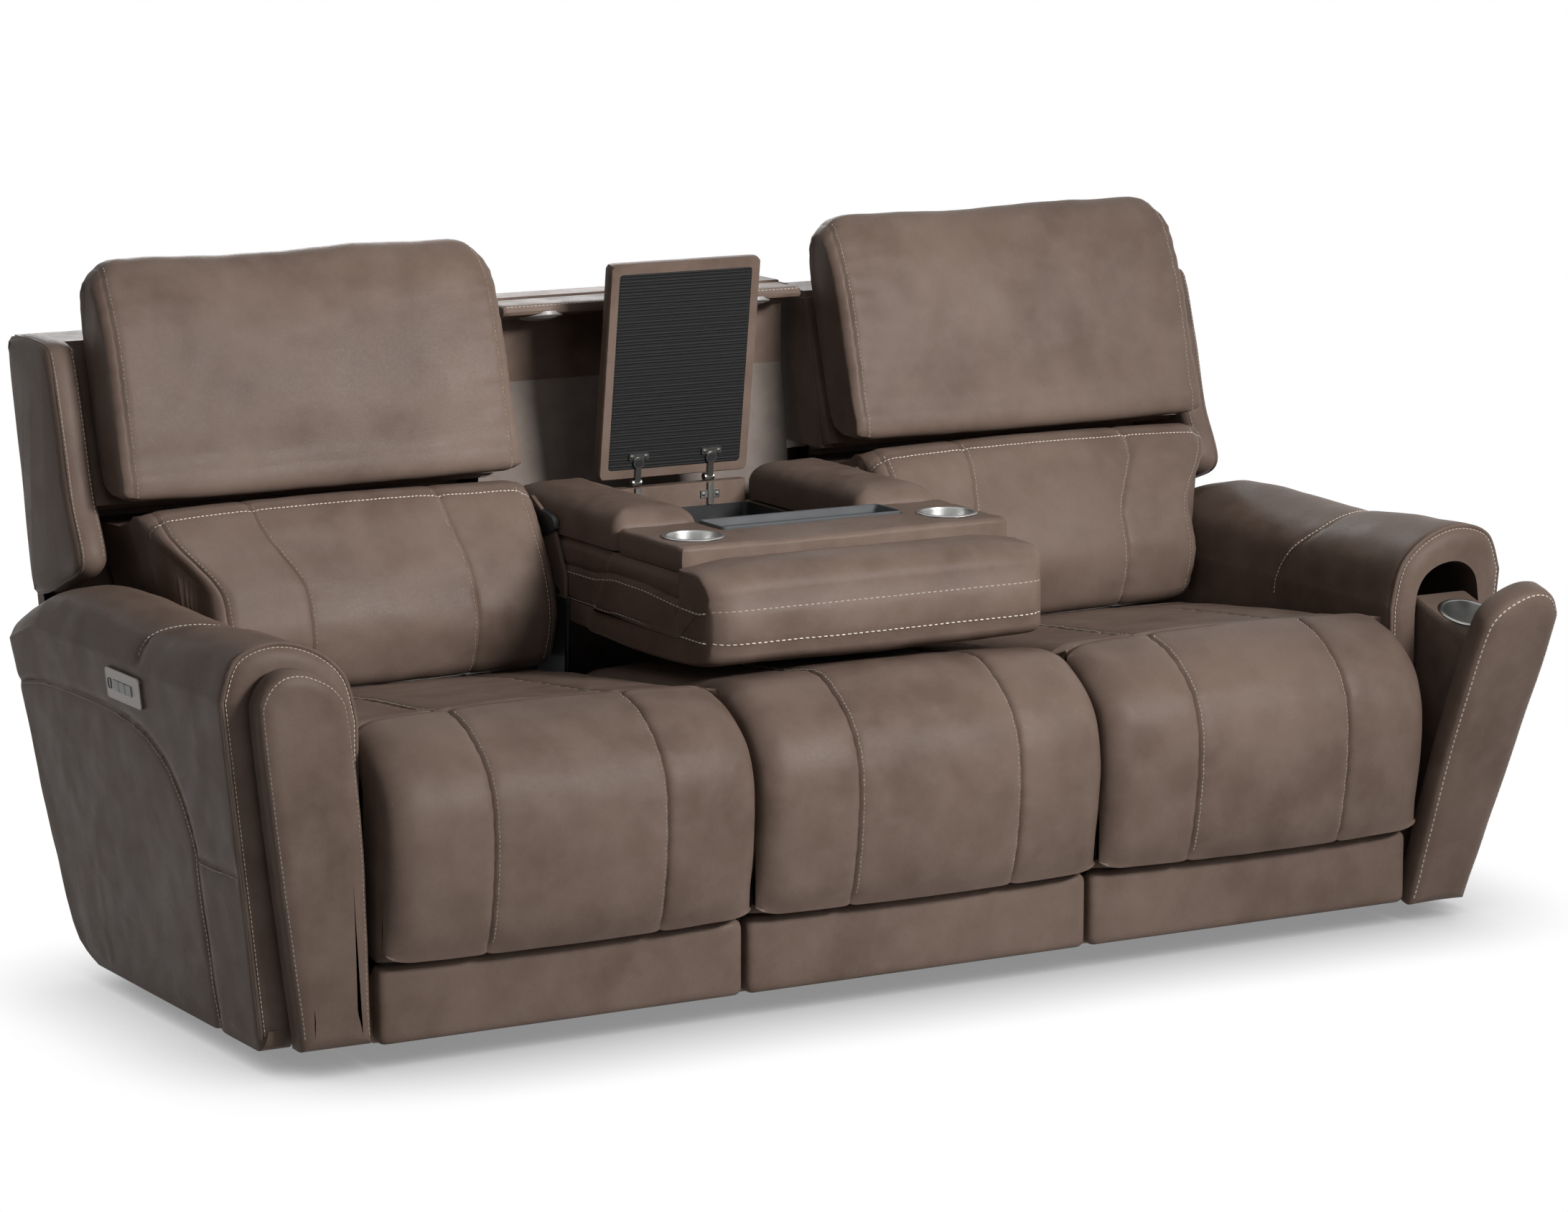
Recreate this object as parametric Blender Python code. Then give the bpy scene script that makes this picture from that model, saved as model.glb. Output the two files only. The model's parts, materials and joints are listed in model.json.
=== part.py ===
"""Three-seat power reclining sofa with a drop-down centre console, two reclining seats and front arm pods.

X runs to the sitter's left, Z up. Inside the model, depth runs along +Y from the front face of the
kick panels, and one empty moves the whole sofa so that the origin lies under the middle of its box.
"""

import math

import bmesh
import bpy
from mathutils import Vector

# Clearances
GAP = 0.0004
PIN_GAP = 0.0003

# Overall layout
ORIGIN_DEPTH = 0.4260
SEAT_PITCH = 0.60
SEAT_GAP = 0.003
FLOOR_GAP = 0.035
ARM_INNER_X = 1.5 * SEAT_PITCH - SEAT_GAP
SEAT_X = SEAT_PITCH

# Base
BASE_TOP = 0.130
BASE_FRONT = 0.026
BASE_REAR = 0.700
FRONT_RAIL = 0.040
REAR_RAIL = 0.070
FOOT_RADIUS = 0.030
FOOT_INSET = 0.060
FOOT_FRONT = 0.230
FOOT_BLOCK_TOP = 0.095
KICK_TOP = 0.147
KICK_GAP = 0.004
REAR_PANEL_TOP = 0.268
REAR_PANEL_THICK = 0.018

# Seats and footrests
PAD_CREST = (0.080, 0.497)
PAD_BOTTOM = 0.158
PAD_BACK = 0.045
PAD_SPLIT = 0.105
SEAT_FRONT = 0.112
SEAT_REAR = 0.605
SEAT_BOTTOM = 0.345
CENTRE_SEAT_REAR = 0.530
STITCH_X = 0.2333 * SEAT_PITCH
STITCH_DEPTH = 0.009
STITCH_WIDTH = 0.013
SEAT_EDGE = 0.045

# Recliner mechanism
PLATE_X = SEAT_PITCH / 2 - 0.035
PLATE = 0.005
PLATE_STEP = 0.006
ROD_RADIUS = 0.006
LINK_HALF_WIDTH = 0.0125
LINK_LENGTH = 0.210
LINK_ROOT = (0.200, 0.330)
FOOT_PIN = (0.090, 0.265)
BOARD_THICK = 0.012
BOARD_HALF_WIDTH = PLATE_X - 0.003
BOARD_BOTTOM = 0.180
BOARD_TOP = 0.395
TUBE = (0.450, 0.200)
TUBE_RADIUS = 0.011

# Backs
RECLINE_PIVOT = (0.650, 0.350)
BACK_ROD_RADIUS = 0.008
BACK_INNER_X = SEAT_PITCH / 2
BACK_OUTER_X = ARM_INNER_X + 0.141
WING_THICK = 0.052
INNER_WING_THICK = 0.022
SHELL_TOP = 0.951
SHELL_BOTTOM = 0.340
SHELL_REAR_TOP = 1.012
SHELL_LEAN = 0.2055
SHELL_WALL = 0.026
POST_HALF_WIDTH = 0.010
POST_X = PLATE_X - 0.020
LUMBAR_BOTTOM = 0.424
LUMBAR_TOP = 0.712
LUMBAR_INNER_X = SEAT_PITCH / 2 + 0.006
LUMBAR_LOW_X = ARM_INNER_X - 0.011
LUMBAR_HIGH_X = LUMBAR_LOW_X + 0.076
LUMBAR_FLARE = (0.570, 0.690)
HEAD_PIVOT = (0.755, 0.770)
HEAD_LEAN = math.radians(18)
HEAD_RADIUS = 0.050
HEAD_LENGTH = 0.326
HEAD_INNER_X = SEAT_PITCH / 2 + 0.0035
HEAD_OUTER_X = ARM_INNER_X + 0.077
HEAD_ROD_RADIUS = 0.008
LUG_X = 0.3 * SEAT_PITCH
LUG_HALF_WIDTH = 0.010
LUG_SHIFT = 0.035

# Arms
ARM_FRONT = 0.045
ARM_FOOT_WIDTH = 0.158
ARM_WIDTH = 0.212
ARM_OUTER_LOW = ARM_INNER_X + ARM_FOOT_WIDTH
ARM_OUTER_HIGH = ARM_INNER_X + ARM_WIDTH
ARM_SHOULDER = 0.545
ARM_TOP = 0.624
ARM_REAR_TOP = 0.860
ARM_DIP = 0.018
POCKET_DEPTH = 0.240
POCKET_INNER_X = ARM_INNER_X + 0.039
POD_FRONT = -0.005
POD_BACK = 0.040
POD_BOX_REAR = 0.205
POD_BOX_TOP = 0.490
POD_BOX_INNER_X = ARM_INNER_X + 0.048
POD_BOX_OUTER_LOW = ARM_INNER_X + 0.804 * ARM_FOOT_WIDTH
POD_BOX_OUTER_HIGH = ARM_INNER_X + 0.759 * ARM_WIDTH
POD_PIVOT = (0.055, 0.062)
POD_OPEN = math.radians(17.5)
POD_PIN_RADIUS = 0.006
POD_PIN_INTO = 0.012
POD_CUP_X = (POD_BOX_INNER_X + POD_BOX_OUTER_HIGH) / 2
POD_CUP_DEPTH = 0.125
CUP_RADIUS = 0.042
CUP_WALL = 0.0012
CUP_RIM = 0.006
CUP_DEEP = 0.060

# Controls
CONTROL_DEPTH = 0.400
CONTROL_Z = 0.508
CONTROL_LENGTH = 0.124
CONTROL_HEIGHT = 0.046
CONTROL_THICK = 0.005
KEY_COUNT = 3
KEY_PITCH = 0.0225
KEY_LENGTH = 0.0215
KEY_HEIGHT = 0.0160
KEY_FLOOR = 0.0016
KEY_TOP = 0.0070
KEY_GAP = 0.0005

# Console
CONSOLE_PIVOT = (0.600, 0.550)
CONSOLE_PIN_RADIUS = 0.007
CONSOLE_HALF_WIDTH = SEAT_PITCH / 2 - 0.0115
CUSHION_FRONT = 0.103
CUSHION_HALF_WIDTH = SEAT_PITCH / 2 - 0.004
BRACKET_THICK = 0.006
BRACKET_X = CONSOLE_HALF_WIDTH + 0.002
TUB_FRONT = 0.214
TUB_REAR = 0.790
TUB_BOTTOM = 0.536
TUB_TOP = 0.632
BIN_HALF_WIDTH = 0.225 * SEAT_PITCH - 0.001
BIN_FRONT = 0.432
BIN_REAR = 0.768
BIN_FLOOR = 0.556
SLAB_FRONT = 0.216
SLAB_REAR = 0.422
SLAB_TOP = 0.672
CONSOLE_PAD_TOP = 0.698
CONSOLE_CUP_X = CONSOLE_HALF_WIDTH - 0.0645
CONSOLE_CUP_DEPTH = 0.296
TRAY_HALF_WIDTH = 0.25 * SEAT_PITCH
TRAY_FRONT = 0.335
TRAY_REAR = 0.409
TRAY_DEEP = 0.013
TRAY_RIM = 0.676
LID_HINGE = (0.774, 0.677)
LID_OPEN = math.radians(82)
LID_HALF_WIDTH = 0.225 * SEAT_PITCH
LID_FRONT = 0.414
LID_REAR = 0.7665
LID_BOTTOM = 0.6735
LID_THICK = 0.026
LID_INSET_THICK = 0.0015
LID_FRAME = 0.016
LID_HINGE_X = 0.489 * LID_HALF_WIDTH
LID_HINGE_WIDTH = 0.042
LID_BARREL = 0.0068
LID_LEAF = 0.003

# Light hood and the wall behind the console
WALL_FRONT = 0.922
WALL_LOW_FRONT = 0.866
WALL_TOP = 0.966
WALL_HALF_WIDTH = SEAT_PITCH / 2 - 0.015
WALL_FOOT_BOTTOM = 0.190
WALL_FOOT_TOP = 0.262
HOOD_HALF_WIDTH = WALL_HALF_WIDTH - 0.014
HOOD_FRONT = 0.828
HOOD_PIVOT = (0.901, 0.949)
HOOD_HALF_THICK = 0.017
HOOD_PIN_RADIUS = 0.005
LIGHT_X = 0.7 * HOOD_HALF_WIDTH
LIGHT_SETBACK = 0.036
LIGHT_DEPTH = HOOD_FRONT + LIGHT_SETBACK
LIGHT_RADIUS = 0.035
LIGHT_PROUD = 0.0015
LIGHT_SUNK = 0.008

FINISHES = {
    "leather": ((0.21, 0.155, 0.125), 0.52, 0.0),
    "dark_leather": ((0.12, 0.09, 0.075), 0.58, 0.0),
    "wood": ((0.42, 0.31, 0.20), 0.65, 0.0),
    "steel": ((0.30, 0.30, 0.31), 0.40, 1.0),
    "cup_steel": ((0.72, 0.72, 0.72), 0.25, 1.0),
    "gunmetal": ((0.20, 0.19, 0.19), 0.35, 1.0),
    "key_plastic": ((0.55, 0.54, 0.52), 0.40, 0.0),
    "black_plastic": ((0.02, 0.02, 0.022), 0.50, 0.0),
    "tray_plastic": ((0.10, 0.10, 0.11), 0.45, 0.0),
    "inset_fabric": ((0.025, 0.025, 0.027), 0.90, 0.0),
    "felt": ((0.20, 0.19, 0.19), 0.95, 0.0),
    "lamp": ((0.62, 0.62, 0.60), 0.35, 0.0),
}

materials = {}
pivots = {}


def clear_scene():
    for obj in list(bpy.data.objects):
        bpy.data.objects.remove(obj, do_unlink=True)


def finish_named(name):
    """The material of one finish, made on its first use."""
    if name not in materials:
        colour, roughness, metallic = FINISHES[name]
        material = bpy.data.materials.new(name)
        material.use_nodes = True
        shader = material.node_tree.nodes["Principled BSDF"]
        shader.inputs["Base Color"].default_value = (*colour, 1.0)
        shader.inputs["Roughness"].default_value = roughness
        shader.inputs["Metallic"].default_value = metallic
        materials[name] = material
    return materials[name]


def add_pivot(name, point, parent=None, angle=0.0):
    """An empty on a joint's axis, which runs along X. The angle is how far the piece stands open at rest."""
    empty = bpy.data.objects.new(name, None)
    bpy.context.scene.collection.objects.link(empty)
    point = Vector(point)
    if parent:
        holder, origin = pivots[parent]
        empty.parent = holder
        empty.location = point - origin
    else:
        empty.location = point
    empty.rotation_euler[0] = angle
    pivots[name] = (empty, point)


def helper(name, shape):
    """A hidden mesh that a Boolean reads."""
    mesh = bpy.data.meshes.new(name)
    bmesh.ops.recalc_face_normals(shape, faces=shape.faces)
    shape.to_mesh(mesh)
    shape.free()
    obj = bpy.data.objects.new(name, mesh)
    bpy.context.scene.collection.objects.link(obj)
    obj.hide_render = True
    obj.display_type = "WIRE"
    return obj


def add_node(name, shape, finish, pivot="sofa", joins=(), cuts=(), solver="EXACT"):
    """One named piece, with other shapes joined to it and cut from it, carried by the empty of its pivot."""
    mesh = bpy.data.meshes.new(name)
    bmesh.ops.recalc_face_normals(shape, faces=shape.faces)
    shape.to_mesh(mesh)
    shape.free()
    obj = bpy.data.objects.new(name, mesh)
    bpy.context.scene.collection.objects.link(obj)
    holder, origin = pivots[pivot]
    obj.parent = holder
    obj.location = -origin
    mesh.materials.append(finish_named(finish))
    changes = [("UNION", other) for other in joins] + [("DIFFERENCE", other) for other in cuts]
    for number, (operation, other) in enumerate(changes):
        tool = helper(f"{name}_tool_{number}", other)
        tool.parent = holder
        tool.location = -origin
        modifier = obj.modifiers.new(f"{operation.lower()}_{number}", "BOOLEAN")
        modifier.operation = operation
        modifier.object = tool
        modifier.solver = solver
    mesh.shade_smooth()
    mesh.set_sharp_from_angle(angle=math.radians(35))
    return obj


def loft(rings):
    """A closed solid through rings of points, each with the same count."""
    shape = bmesh.new()
    rows = [[shape.verts.new(point) for point in ring] for ring in rings]
    count = len(rows[0])
    for row, following in zip(rows, rows[1:]):
        for i in range(count):
            j = (i + 1) % count
            shape.faces.new((row[i], row[j], following[j], following[i]))
    shape.faces.new(rows[0])
    shape.faces.new(rows[-1])
    bmesh.ops.triangulate(shape, faces=[face for face in shape.faces if len(face.verts) > 4])
    return shape


def along_x(outline, low, high):
    """A prism of a (depth, z) outline between two X places."""
    return loft([[(x, y, z) for y, z in outline] for x in (low, high)])


def along_y(outline, low, high):
    """A prism of an (x, z) outline between two depths."""
    return loft([[(x, y, z) for x, z in outline] for y in (low, high)])


def along_z(outline, low, high):
    """A prism of an (x, depth) outline between two heights."""
    return loft([[(x, y, z) for x, y in outline] for z in (low, high)])


def box(low, high):
    corners = ((low[0], low[1]), (high[0], low[1]), (high[0], high[1]), (low[0], high[1]))
    return along_z(corners, low[2], high[2])


def circle(centre, radius, count=20):
    turns = [2 * math.pi * (i + 0.5) / count for i in range(count)]
    return [(centre[0] + radius * math.cos(a), centre[1] + radius * math.sin(a)) for a in turns]


def rod(centre, radius, low, high, count=20):
    """A round bar along X at a (depth, z) place."""
    return along_x(circle(centre, radius, count), low, high)


def capsule(start, end, radius, steps=6):
    """The outline of a flat bar with round ends."""
    heading = math.atan2(end[1] - start[1], end[0] - start[0])
    points = []
    for centre, turned in ((end, heading - math.pi / 2), (start, heading + math.pi / 2)):
        for i in range(steps + 1):
            a = turned + math.pi * i / steps
            points.append((centre[0] + radius * math.cos(a), centre[1] + radius * math.sin(a)))
    return points


def rounded(low, high, radius, steps=3):
    """A rectangle with round corners."""
    points = []
    corners = ((high[0], high[1], 0), (low[0], high[1], 1), (low[0], low[1], 2), (high[0], low[1], 3))
    for x, y, quarter in corners:
        centre_x = x - math.copysign(radius, x - (low[0] + high[0]) / 2)
        centre_y = y - math.copysign(radius, y - (low[1] + high[1]) / 2)
        for i in range(steps + 1):
            a = (quarter + i / steps) * math.pi / 2
            points.append((centre_x + radius * math.cos(a), centre_y + radius * math.sin(a)))
    return points


def smooth(points, steps=2, closed=True):
    """Points along a smooth curve through the given ones, which may carry further values."""
    count = len(points)
    result = []
    for i in range(count if closed else count - 1):
        if closed:
            around = [points[(i + k) % count] for k in (-1, 0, 1, 2)]
        else:
            around = [points[min(max(i + k, 0), count - 1)] for k in (-1, 0, 1, 2)]
        for step in range(steps):
            t = step / steps
            weights = (
                (-t + 2 * t**2 - t**3) / 2,
                (2 - 5 * t**2 + 3 * t**3) / 2,
                (t + 4 * t**2 - 3 * t**3) / 2,
                (-(t**2) + t**3) / 2,
            )
            width = range(len(points[0]))
            result.append(tuple(sum(w * p[k] for w, p in zip(weights, around)) for k in width))
    if not closed:
        result.append(points[-1])
    return result


def drawn_in(outline, amounts):
    """The closed outline with each point moved inwards by its own amount."""
    count = len(outline)
    area = sum(
        outline[i][0] * outline[(i + 1) % count][1] - outline[(i + 1) % count][0] * outline[i][1]
        for i in range(count)
    )
    turn = math.copysign(1.0, area)
    result = []
    for i, amount in enumerate(amounts):
        before, after = Vector(outline[i - 1][:2]), Vector(outline[(i + 1) % count][:2])
        along = (after - before).normalized()
        inward = Vector((-along.y, along.x)) * turn
        result.append(tuple(Vector(outline[i][:2]) + inward * amount))
    return result


def pad_stations(half_width, edge, stitches):
    """Places across a pad, closer together at its round ends and at its stitched channels."""
    places = {0.0, half_width}
    places.update(half_width - edge * share for share in (0.10, 0.35, 1.0))
    for stitch in stitches:
        places.update((stitch, stitch - STITCH_WIDTH, stitch + STITCH_WIDTH))
    halves = sorted(places)
    return [-place for place in reversed(halves) if place > 0] + halves


def pad_inset(place, half_width, edge, draw, stitches, crown):
    """How far a pad's face is drawn in at a place across it: round ends, sewn channels and a slight crown."""
    past = max(abs(place) - (half_width - edge), 0.0) / edge
    inset = draw * (1 - math.sqrt(max(1 - past**2, 0.0)))
    inset += crown * (place / half_width) ** 2
    for stitch in stitches:
        inset += STITCH_DEPTH * max(1 - abs(abs(place) - stitch) / STITCH_WIDTH, 0.0)
    return inset


def channelled_pad(profile, centre, half_width, edge, draw, stitches=(STITCH_X,), crown=0.010):
    """A padded solid across X. The profile's third value says how soft its outline is at each point."""
    rings = []
    for place in pad_stations(half_width, edge, stitches):
        inset = pad_inset(place, half_width, edge, draw, stitches, crown)
        ring = drawn_in(profile, [inset * max(point[2], 0.0) for point in profile])
        rings.append([(centre + place, y, z) for y, z in ring])
    return loft(rings)


def padded_block(low, high, corner, edge, crown=0.0):
    """A block with round corners in plan, a soft upper edge and a crowned top."""
    rings = []
    levels = ((low[2], edge * 0.3), (low[2] + edge * 0.4, 0.0), (high[2] - edge, 0.0))
    levels += ((high[2] - edge * 0.3, edge * 0.3), (high[2], edge))
    for z, inset in levels:
        inner = [low[k] + inset for k in (0, 1)], [high[k] - inset for k in (0, 1)]
        outline = rounded(*inner, max(corner - inset, corner * 0.4))
        rings.append([(x, y, z) for x, y in outline])
    if crown:
        inset = 0.28 * min(high[k] - low[k] for k in (0, 1))
        inner = [low[k] + inset for k in (0, 1)], [high[k] - inset for k in (0, 1)]
        rings.append([(x, y, high[2] + crown) for x, y in rounded(*inner, corner)])
    return loft(rings)


def shell_rear(z):
    """Depth of the outer face of a back shell at a height."""
    return SHELL_REAR_TOP - (SHELL_TOP - z) * SHELL_LEAN


def shell_inside(z):
    return shell_rear(z) - SHELL_WALL


def build_base():
    half = ARM_INNER_X - 0.0025
    bays = [(-SEAT_PITCH / 2 + 0.03, SEAT_PITCH / 2 - 0.03)]
    for side in (-1, 1):
        bays.append(tuple(sorted((side * (SEAT_PITCH / 2 + 0.03), side * (half - 0.022)))))
    cuts = [
        box((low, BASE_FRONT + FRONT_RAIL, 0.0), (high, BASE_REAR - REAR_RAIL, BASE_TOP + 0.05))
        for low, high in bays
    ]
    feet = []
    for x in (-half + FOOT_INSET, half - FOOT_INSET):
        for y in (FOOT_FRONT, BASE_REAR - REAR_RAIL / 2):
            top = [(px, py, FLOOR_GAP + 0.01) for px, py in circle((x, y), FOOT_RADIUS, 16)]
            foot = [(px, py, 0.0) for px, py in circle((x, y), FOOT_RADIUS * 0.8, 16)]
            feet.append(loft([foot, top]))
    for side in (-1, 1):
        low, high = sorted((side * (half - 0.010), side * (half - FOOT_INSET - FOOT_RADIUS - 0.008)))
        reach = FOOT_RADIUS + 0.010
        feet.append(box((low, FOOT_FRONT - reach, FLOOR_GAP), (high, FOOT_FRONT + reach, FOOT_BLOCK_TOP)))
    frame = box((-half, BASE_FRONT, FLOOR_GAP), (half, BASE_REAR, BASE_TOP))
    base = add_node("base_frame", frame, "wood", joins=feet, cuts=cuts)
    for modifier in [m for m in base.modifiers if m.operation == "DIFFERENCE"]:
        base.modifiers.move(base.modifiers.find(modifier.name), 0)
    outline = rounded((-half, FLOOR_GAP + 0.005), (half, REAR_PANEL_TOP), 0.012)
    add_node(
        "rear_base_panel",
        along_y(outline, BASE_REAR + GAP, BASE_REAR + GAP + REAR_PANEL_THICK),
        "dark_leather",
    )
    for name, centre in (("left", -SEAT_X), ("centre", 0.0), ("right", SEAT_X)):
        reach = SEAT_PITCH / 2 - KICK_GAP
        outline = rounded((centre - reach, FLOOR_GAP), (centre + reach, KICK_TOP), 0.010)
        low = (centre - reach + 0.006, FLOOR_GAP + 0.006)
        high = (centre + reach - 0.006, KICK_TOP - 0.006)
        inner = rounded(low, high, 0.008)
        rings = [[(x, y, z) for x, z in points] for points, y in ((inner, 0.0), (outline, 0.006))]
        rings.append([(x, BASE_FRONT - GAP, z) for x, z in outline])
        add_node(f"{name}_kick_panel", loft(rings), "leather")


def pad_front_points():
    """The soft outline of a seat front from its crest down to its lower edge."""
    return [
        (*PAD_CREST, 1.0),
        (0.025, 0.480, 1.0),
        (-0.030, 0.440, 1.0),
        (-0.058, 0.390, 1.0),
        (-0.066, 0.330, 1.0),
        (-0.062, 0.265, 1.0),
        (-0.048, 0.200, 1.0),
        (-0.028, PAD_BOTTOM + 0.002, 1.0),
    ]


def seat_top_points(rear):
    return [
        (rear, 0.430, 0.6),
        (0.480, 0.452, 1.0),
        (0.330, 0.468, 1.0),
        (0.200, 0.480, 1.0),
    ]


def build_seat(name, centre):
    half = SEAT_PITCH / 2 - SEAT_GAP
    front = smooth(pad_front_points(), closed=False)
    back = [
        (0.010, PAD_BOTTOM - 0.004, 0.3),
        (PAD_BACK, PAD_BOTTOM + 0.010, 0.0),
        (PAD_BACK, 0.400, 0.0),
        (PAD_BACK + 0.020, 0.440, 0.0),
        (PAD_SPLIT, 0.452, 0.0),
        (PAD_SPLIT, 0.4925, 1.0),
    ]
    add_node(
        f"{name}_footrest_pad",
        channelled_pad(front + back, centre, half, SEAT_EDGE, 0.030),
        "leather",
        pivot=f"{name}_footrest_axis",
    )
    top = smooth(seat_top_points(SEAT_REAR), closed=False)
    rest = [
        (SEAT_FRONT + 0.020, 0.4885, 1.0),
        (SEAT_FRONT, 0.478, 1.0),
        (SEAT_FRONT, SEAT_BOTTOM + 0.010, 0.3),
        (SEAT_FRONT + 0.010, SEAT_BOTTOM, 0.0),
        (SEAT_REAR, SEAT_BOTTOM, 0.0),
    ]
    add_node(f"{name}_seat_cushion", channelled_pad(top + rest, centre, half, SEAT_EDGE, 0.026), "leather")


def build_centre_seat():
    half = SEAT_PITCH / 2 - SEAT_GAP
    front = smooth(seat_top_points(CENTRE_SEAT_REAR)[1:] + pad_front_points(), closed=False)
    under = [
        (0.010, PAD_BOTTOM - 0.004, 0.3),
        (BASE_FRONT + 0.004, KICK_TOP + 0.004, 0.0),
        (BASE_FRONT + 0.004, BASE_TOP + GAP, 0.0),
        (CENTRE_SEAT_REAR, BASE_TOP + GAP, 0.0),
        (CENTRE_SEAT_REAR, 0.400, 0.2),
    ]
    rear = [(CENTRE_SEAT_REAR, 0.438, 0.6)]
    add_node(
        "centre_seat_cushion",
        channelled_pad(rear + front + under, 0.0, half, SEAT_EDGE, 0.030),
        "leather",
    )


def link_elbow(root, end):
    """The pin between two equal links, on the lower side of the line from root to end."""
    span = math.dist(root, end)
    bend = math.acos(span / (2 * LINK_LENGTH))
    heading = math.atan2(end[1] - root[1], end[0] - root[0]) + bend
    return (root[0] + LINK_LENGTH * math.cos(heading), root[1] + LINK_LENGTH * math.sin(heading))


def both_sides(outline, centre, inner, thick):
    """A prism of the outline on each side of a seat's middle."""
    spans = [sorted((centre + side * inner, centre + side * (inner + thick))) for side in (-1, 1)]
    return [along_x(outline, *span) for span in spans]


def build_mechanism(name, centre):
    elbow = link_elbow(LINK_ROOT, FOOT_PIN)
    hole = ROD_RADIUS + PIN_GAP
    reach = PLATE_X + PLATE
    plate = [
        (0.030, BASE_TOP + GAP),
        (BASE_REAR - 0.002, BASE_TOP + GAP),
        (BASE_REAR - 0.002, 0.300),
        (RECLINE_PIVOT[0] + 0.025, RECLINE_PIVOT[1] + 0.022),
        (RECLINE_PIVOT[0] - 0.025, RECLINE_PIVOT[1] + 0.022),
        (SEAT_REAR + 0.006, SEAT_BOTTOM - GAP),
        (0.135, SEAT_BOTTOM - GAP),
        (0.115, 0.310),
        (0.115, 0.150),
        (0.030, 0.150),
    ]
    first, second = both_sides(plate, centre, PLATE_X, PLATE)
    rods = [
        rod(LINK_ROOT, ROD_RADIUS, centre - reach, centre + reach),
        rod(RECLINE_PIVOT, BACK_ROD_RADIUS, centre - reach, centre + reach),
        rod(TUBE, TUBE_RADIUS, centre - reach, centre + reach),
    ]
    add_node(f"{name}_seat_frame", first, "steel", joins=[second, *rods])

    place = PLATE_X - PLATE_STEP
    first, second = both_sides(capsule(LINK_ROOT, elbow, LINK_HALF_WIDTH), centre, place, PLATE)
    bar = rod(elbow, ROD_RADIUS, centre - place - PLATE / 2, centre + place + PLATE / 2)
    bore = rod(LINK_ROOT, hole, centre - reach, centre + reach)
    add_node(f"{name}_inner_link", first, "steel", f"{name}_inner_link_axis", [second, bar], [bore])

    place -= PLATE_STEP
    first, second = both_sides(capsule(elbow, FOOT_PIN, LINK_HALF_WIDTH), centre, place, PLATE)
    bar = rod(FOOT_PIN, ROD_RADIUS, centre - place - PLATE / 2, centre + place + PLATE / 2)
    bore = rod(elbow, hole, centre - reach, centre + reach)
    add_node(f"{name}_outer_link", first, "steel", f"{name}_outer_link_axis", [second, bar], [bore])

    place -= PLATE_STEP
    front = PAD_BACK + GAP
    board = along_y(
        rounded((centre - BOARD_HALF_WIDTH, BOARD_BOTTOM), (centre + BOARD_HALF_WIDTH, BOARD_TOP), 0.020),
        front,
        front + BOARD_THICK,
    )
    ear = capsule((front + BOARD_THICK / 2, FOOT_PIN[1]), FOOT_PIN, LINK_HALF_WIDTH + 0.002)
    ear = [(max(y, front + BOARD_THICK / 3), z) for y, z in ear]
    ears = both_sides(ear, centre, place, PLATE)
    bore = rod(FOOT_PIN, hole, centre - reach, centre + reach)
    add_node(f"{name}_footrest_board", board, "wood", f"{name}_footrest_axis", ears, [bore])

    gearbox = padded_block(
        (centre - 0.030, TUBE[0] - 0.034, TUBE[1] - 0.030),
        (centre + 0.030, TUBE[0] + 0.034, TUBE[1] + 0.032),
        0.008,
        0.006,
    )
    can = along_y(circle((centre, TUBE[1]), 0.027, 20), TUBE[0] + 0.030, TUBE[0] + 0.130)
    rail = box((centre - 0.018, 0.235, TUBE[1] - 0.012), (centre + 0.018, TUBE[0] - 0.030, TUBE[1] + 0.014))
    bore = rod(TUBE, TUBE_RADIUS + PIN_GAP, centre - 0.05, centre + 0.05)
    add_node(f"{name}_motor", gearbox, "black_plastic", joins=[can, rail], cuts=[bore])


def head_point(up, forward):
    """A (depth, z) place on a headrest, up along its lean and forward across it."""
    lean_y, lean_z = math.sin(HEAD_LEAN), math.cos(HEAD_LEAN)
    return (HEAD_PIVOT[0] + up * lean_y - forward * lean_z, HEAD_PIVOT[1] + up * lean_z + forward * lean_y)


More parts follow.
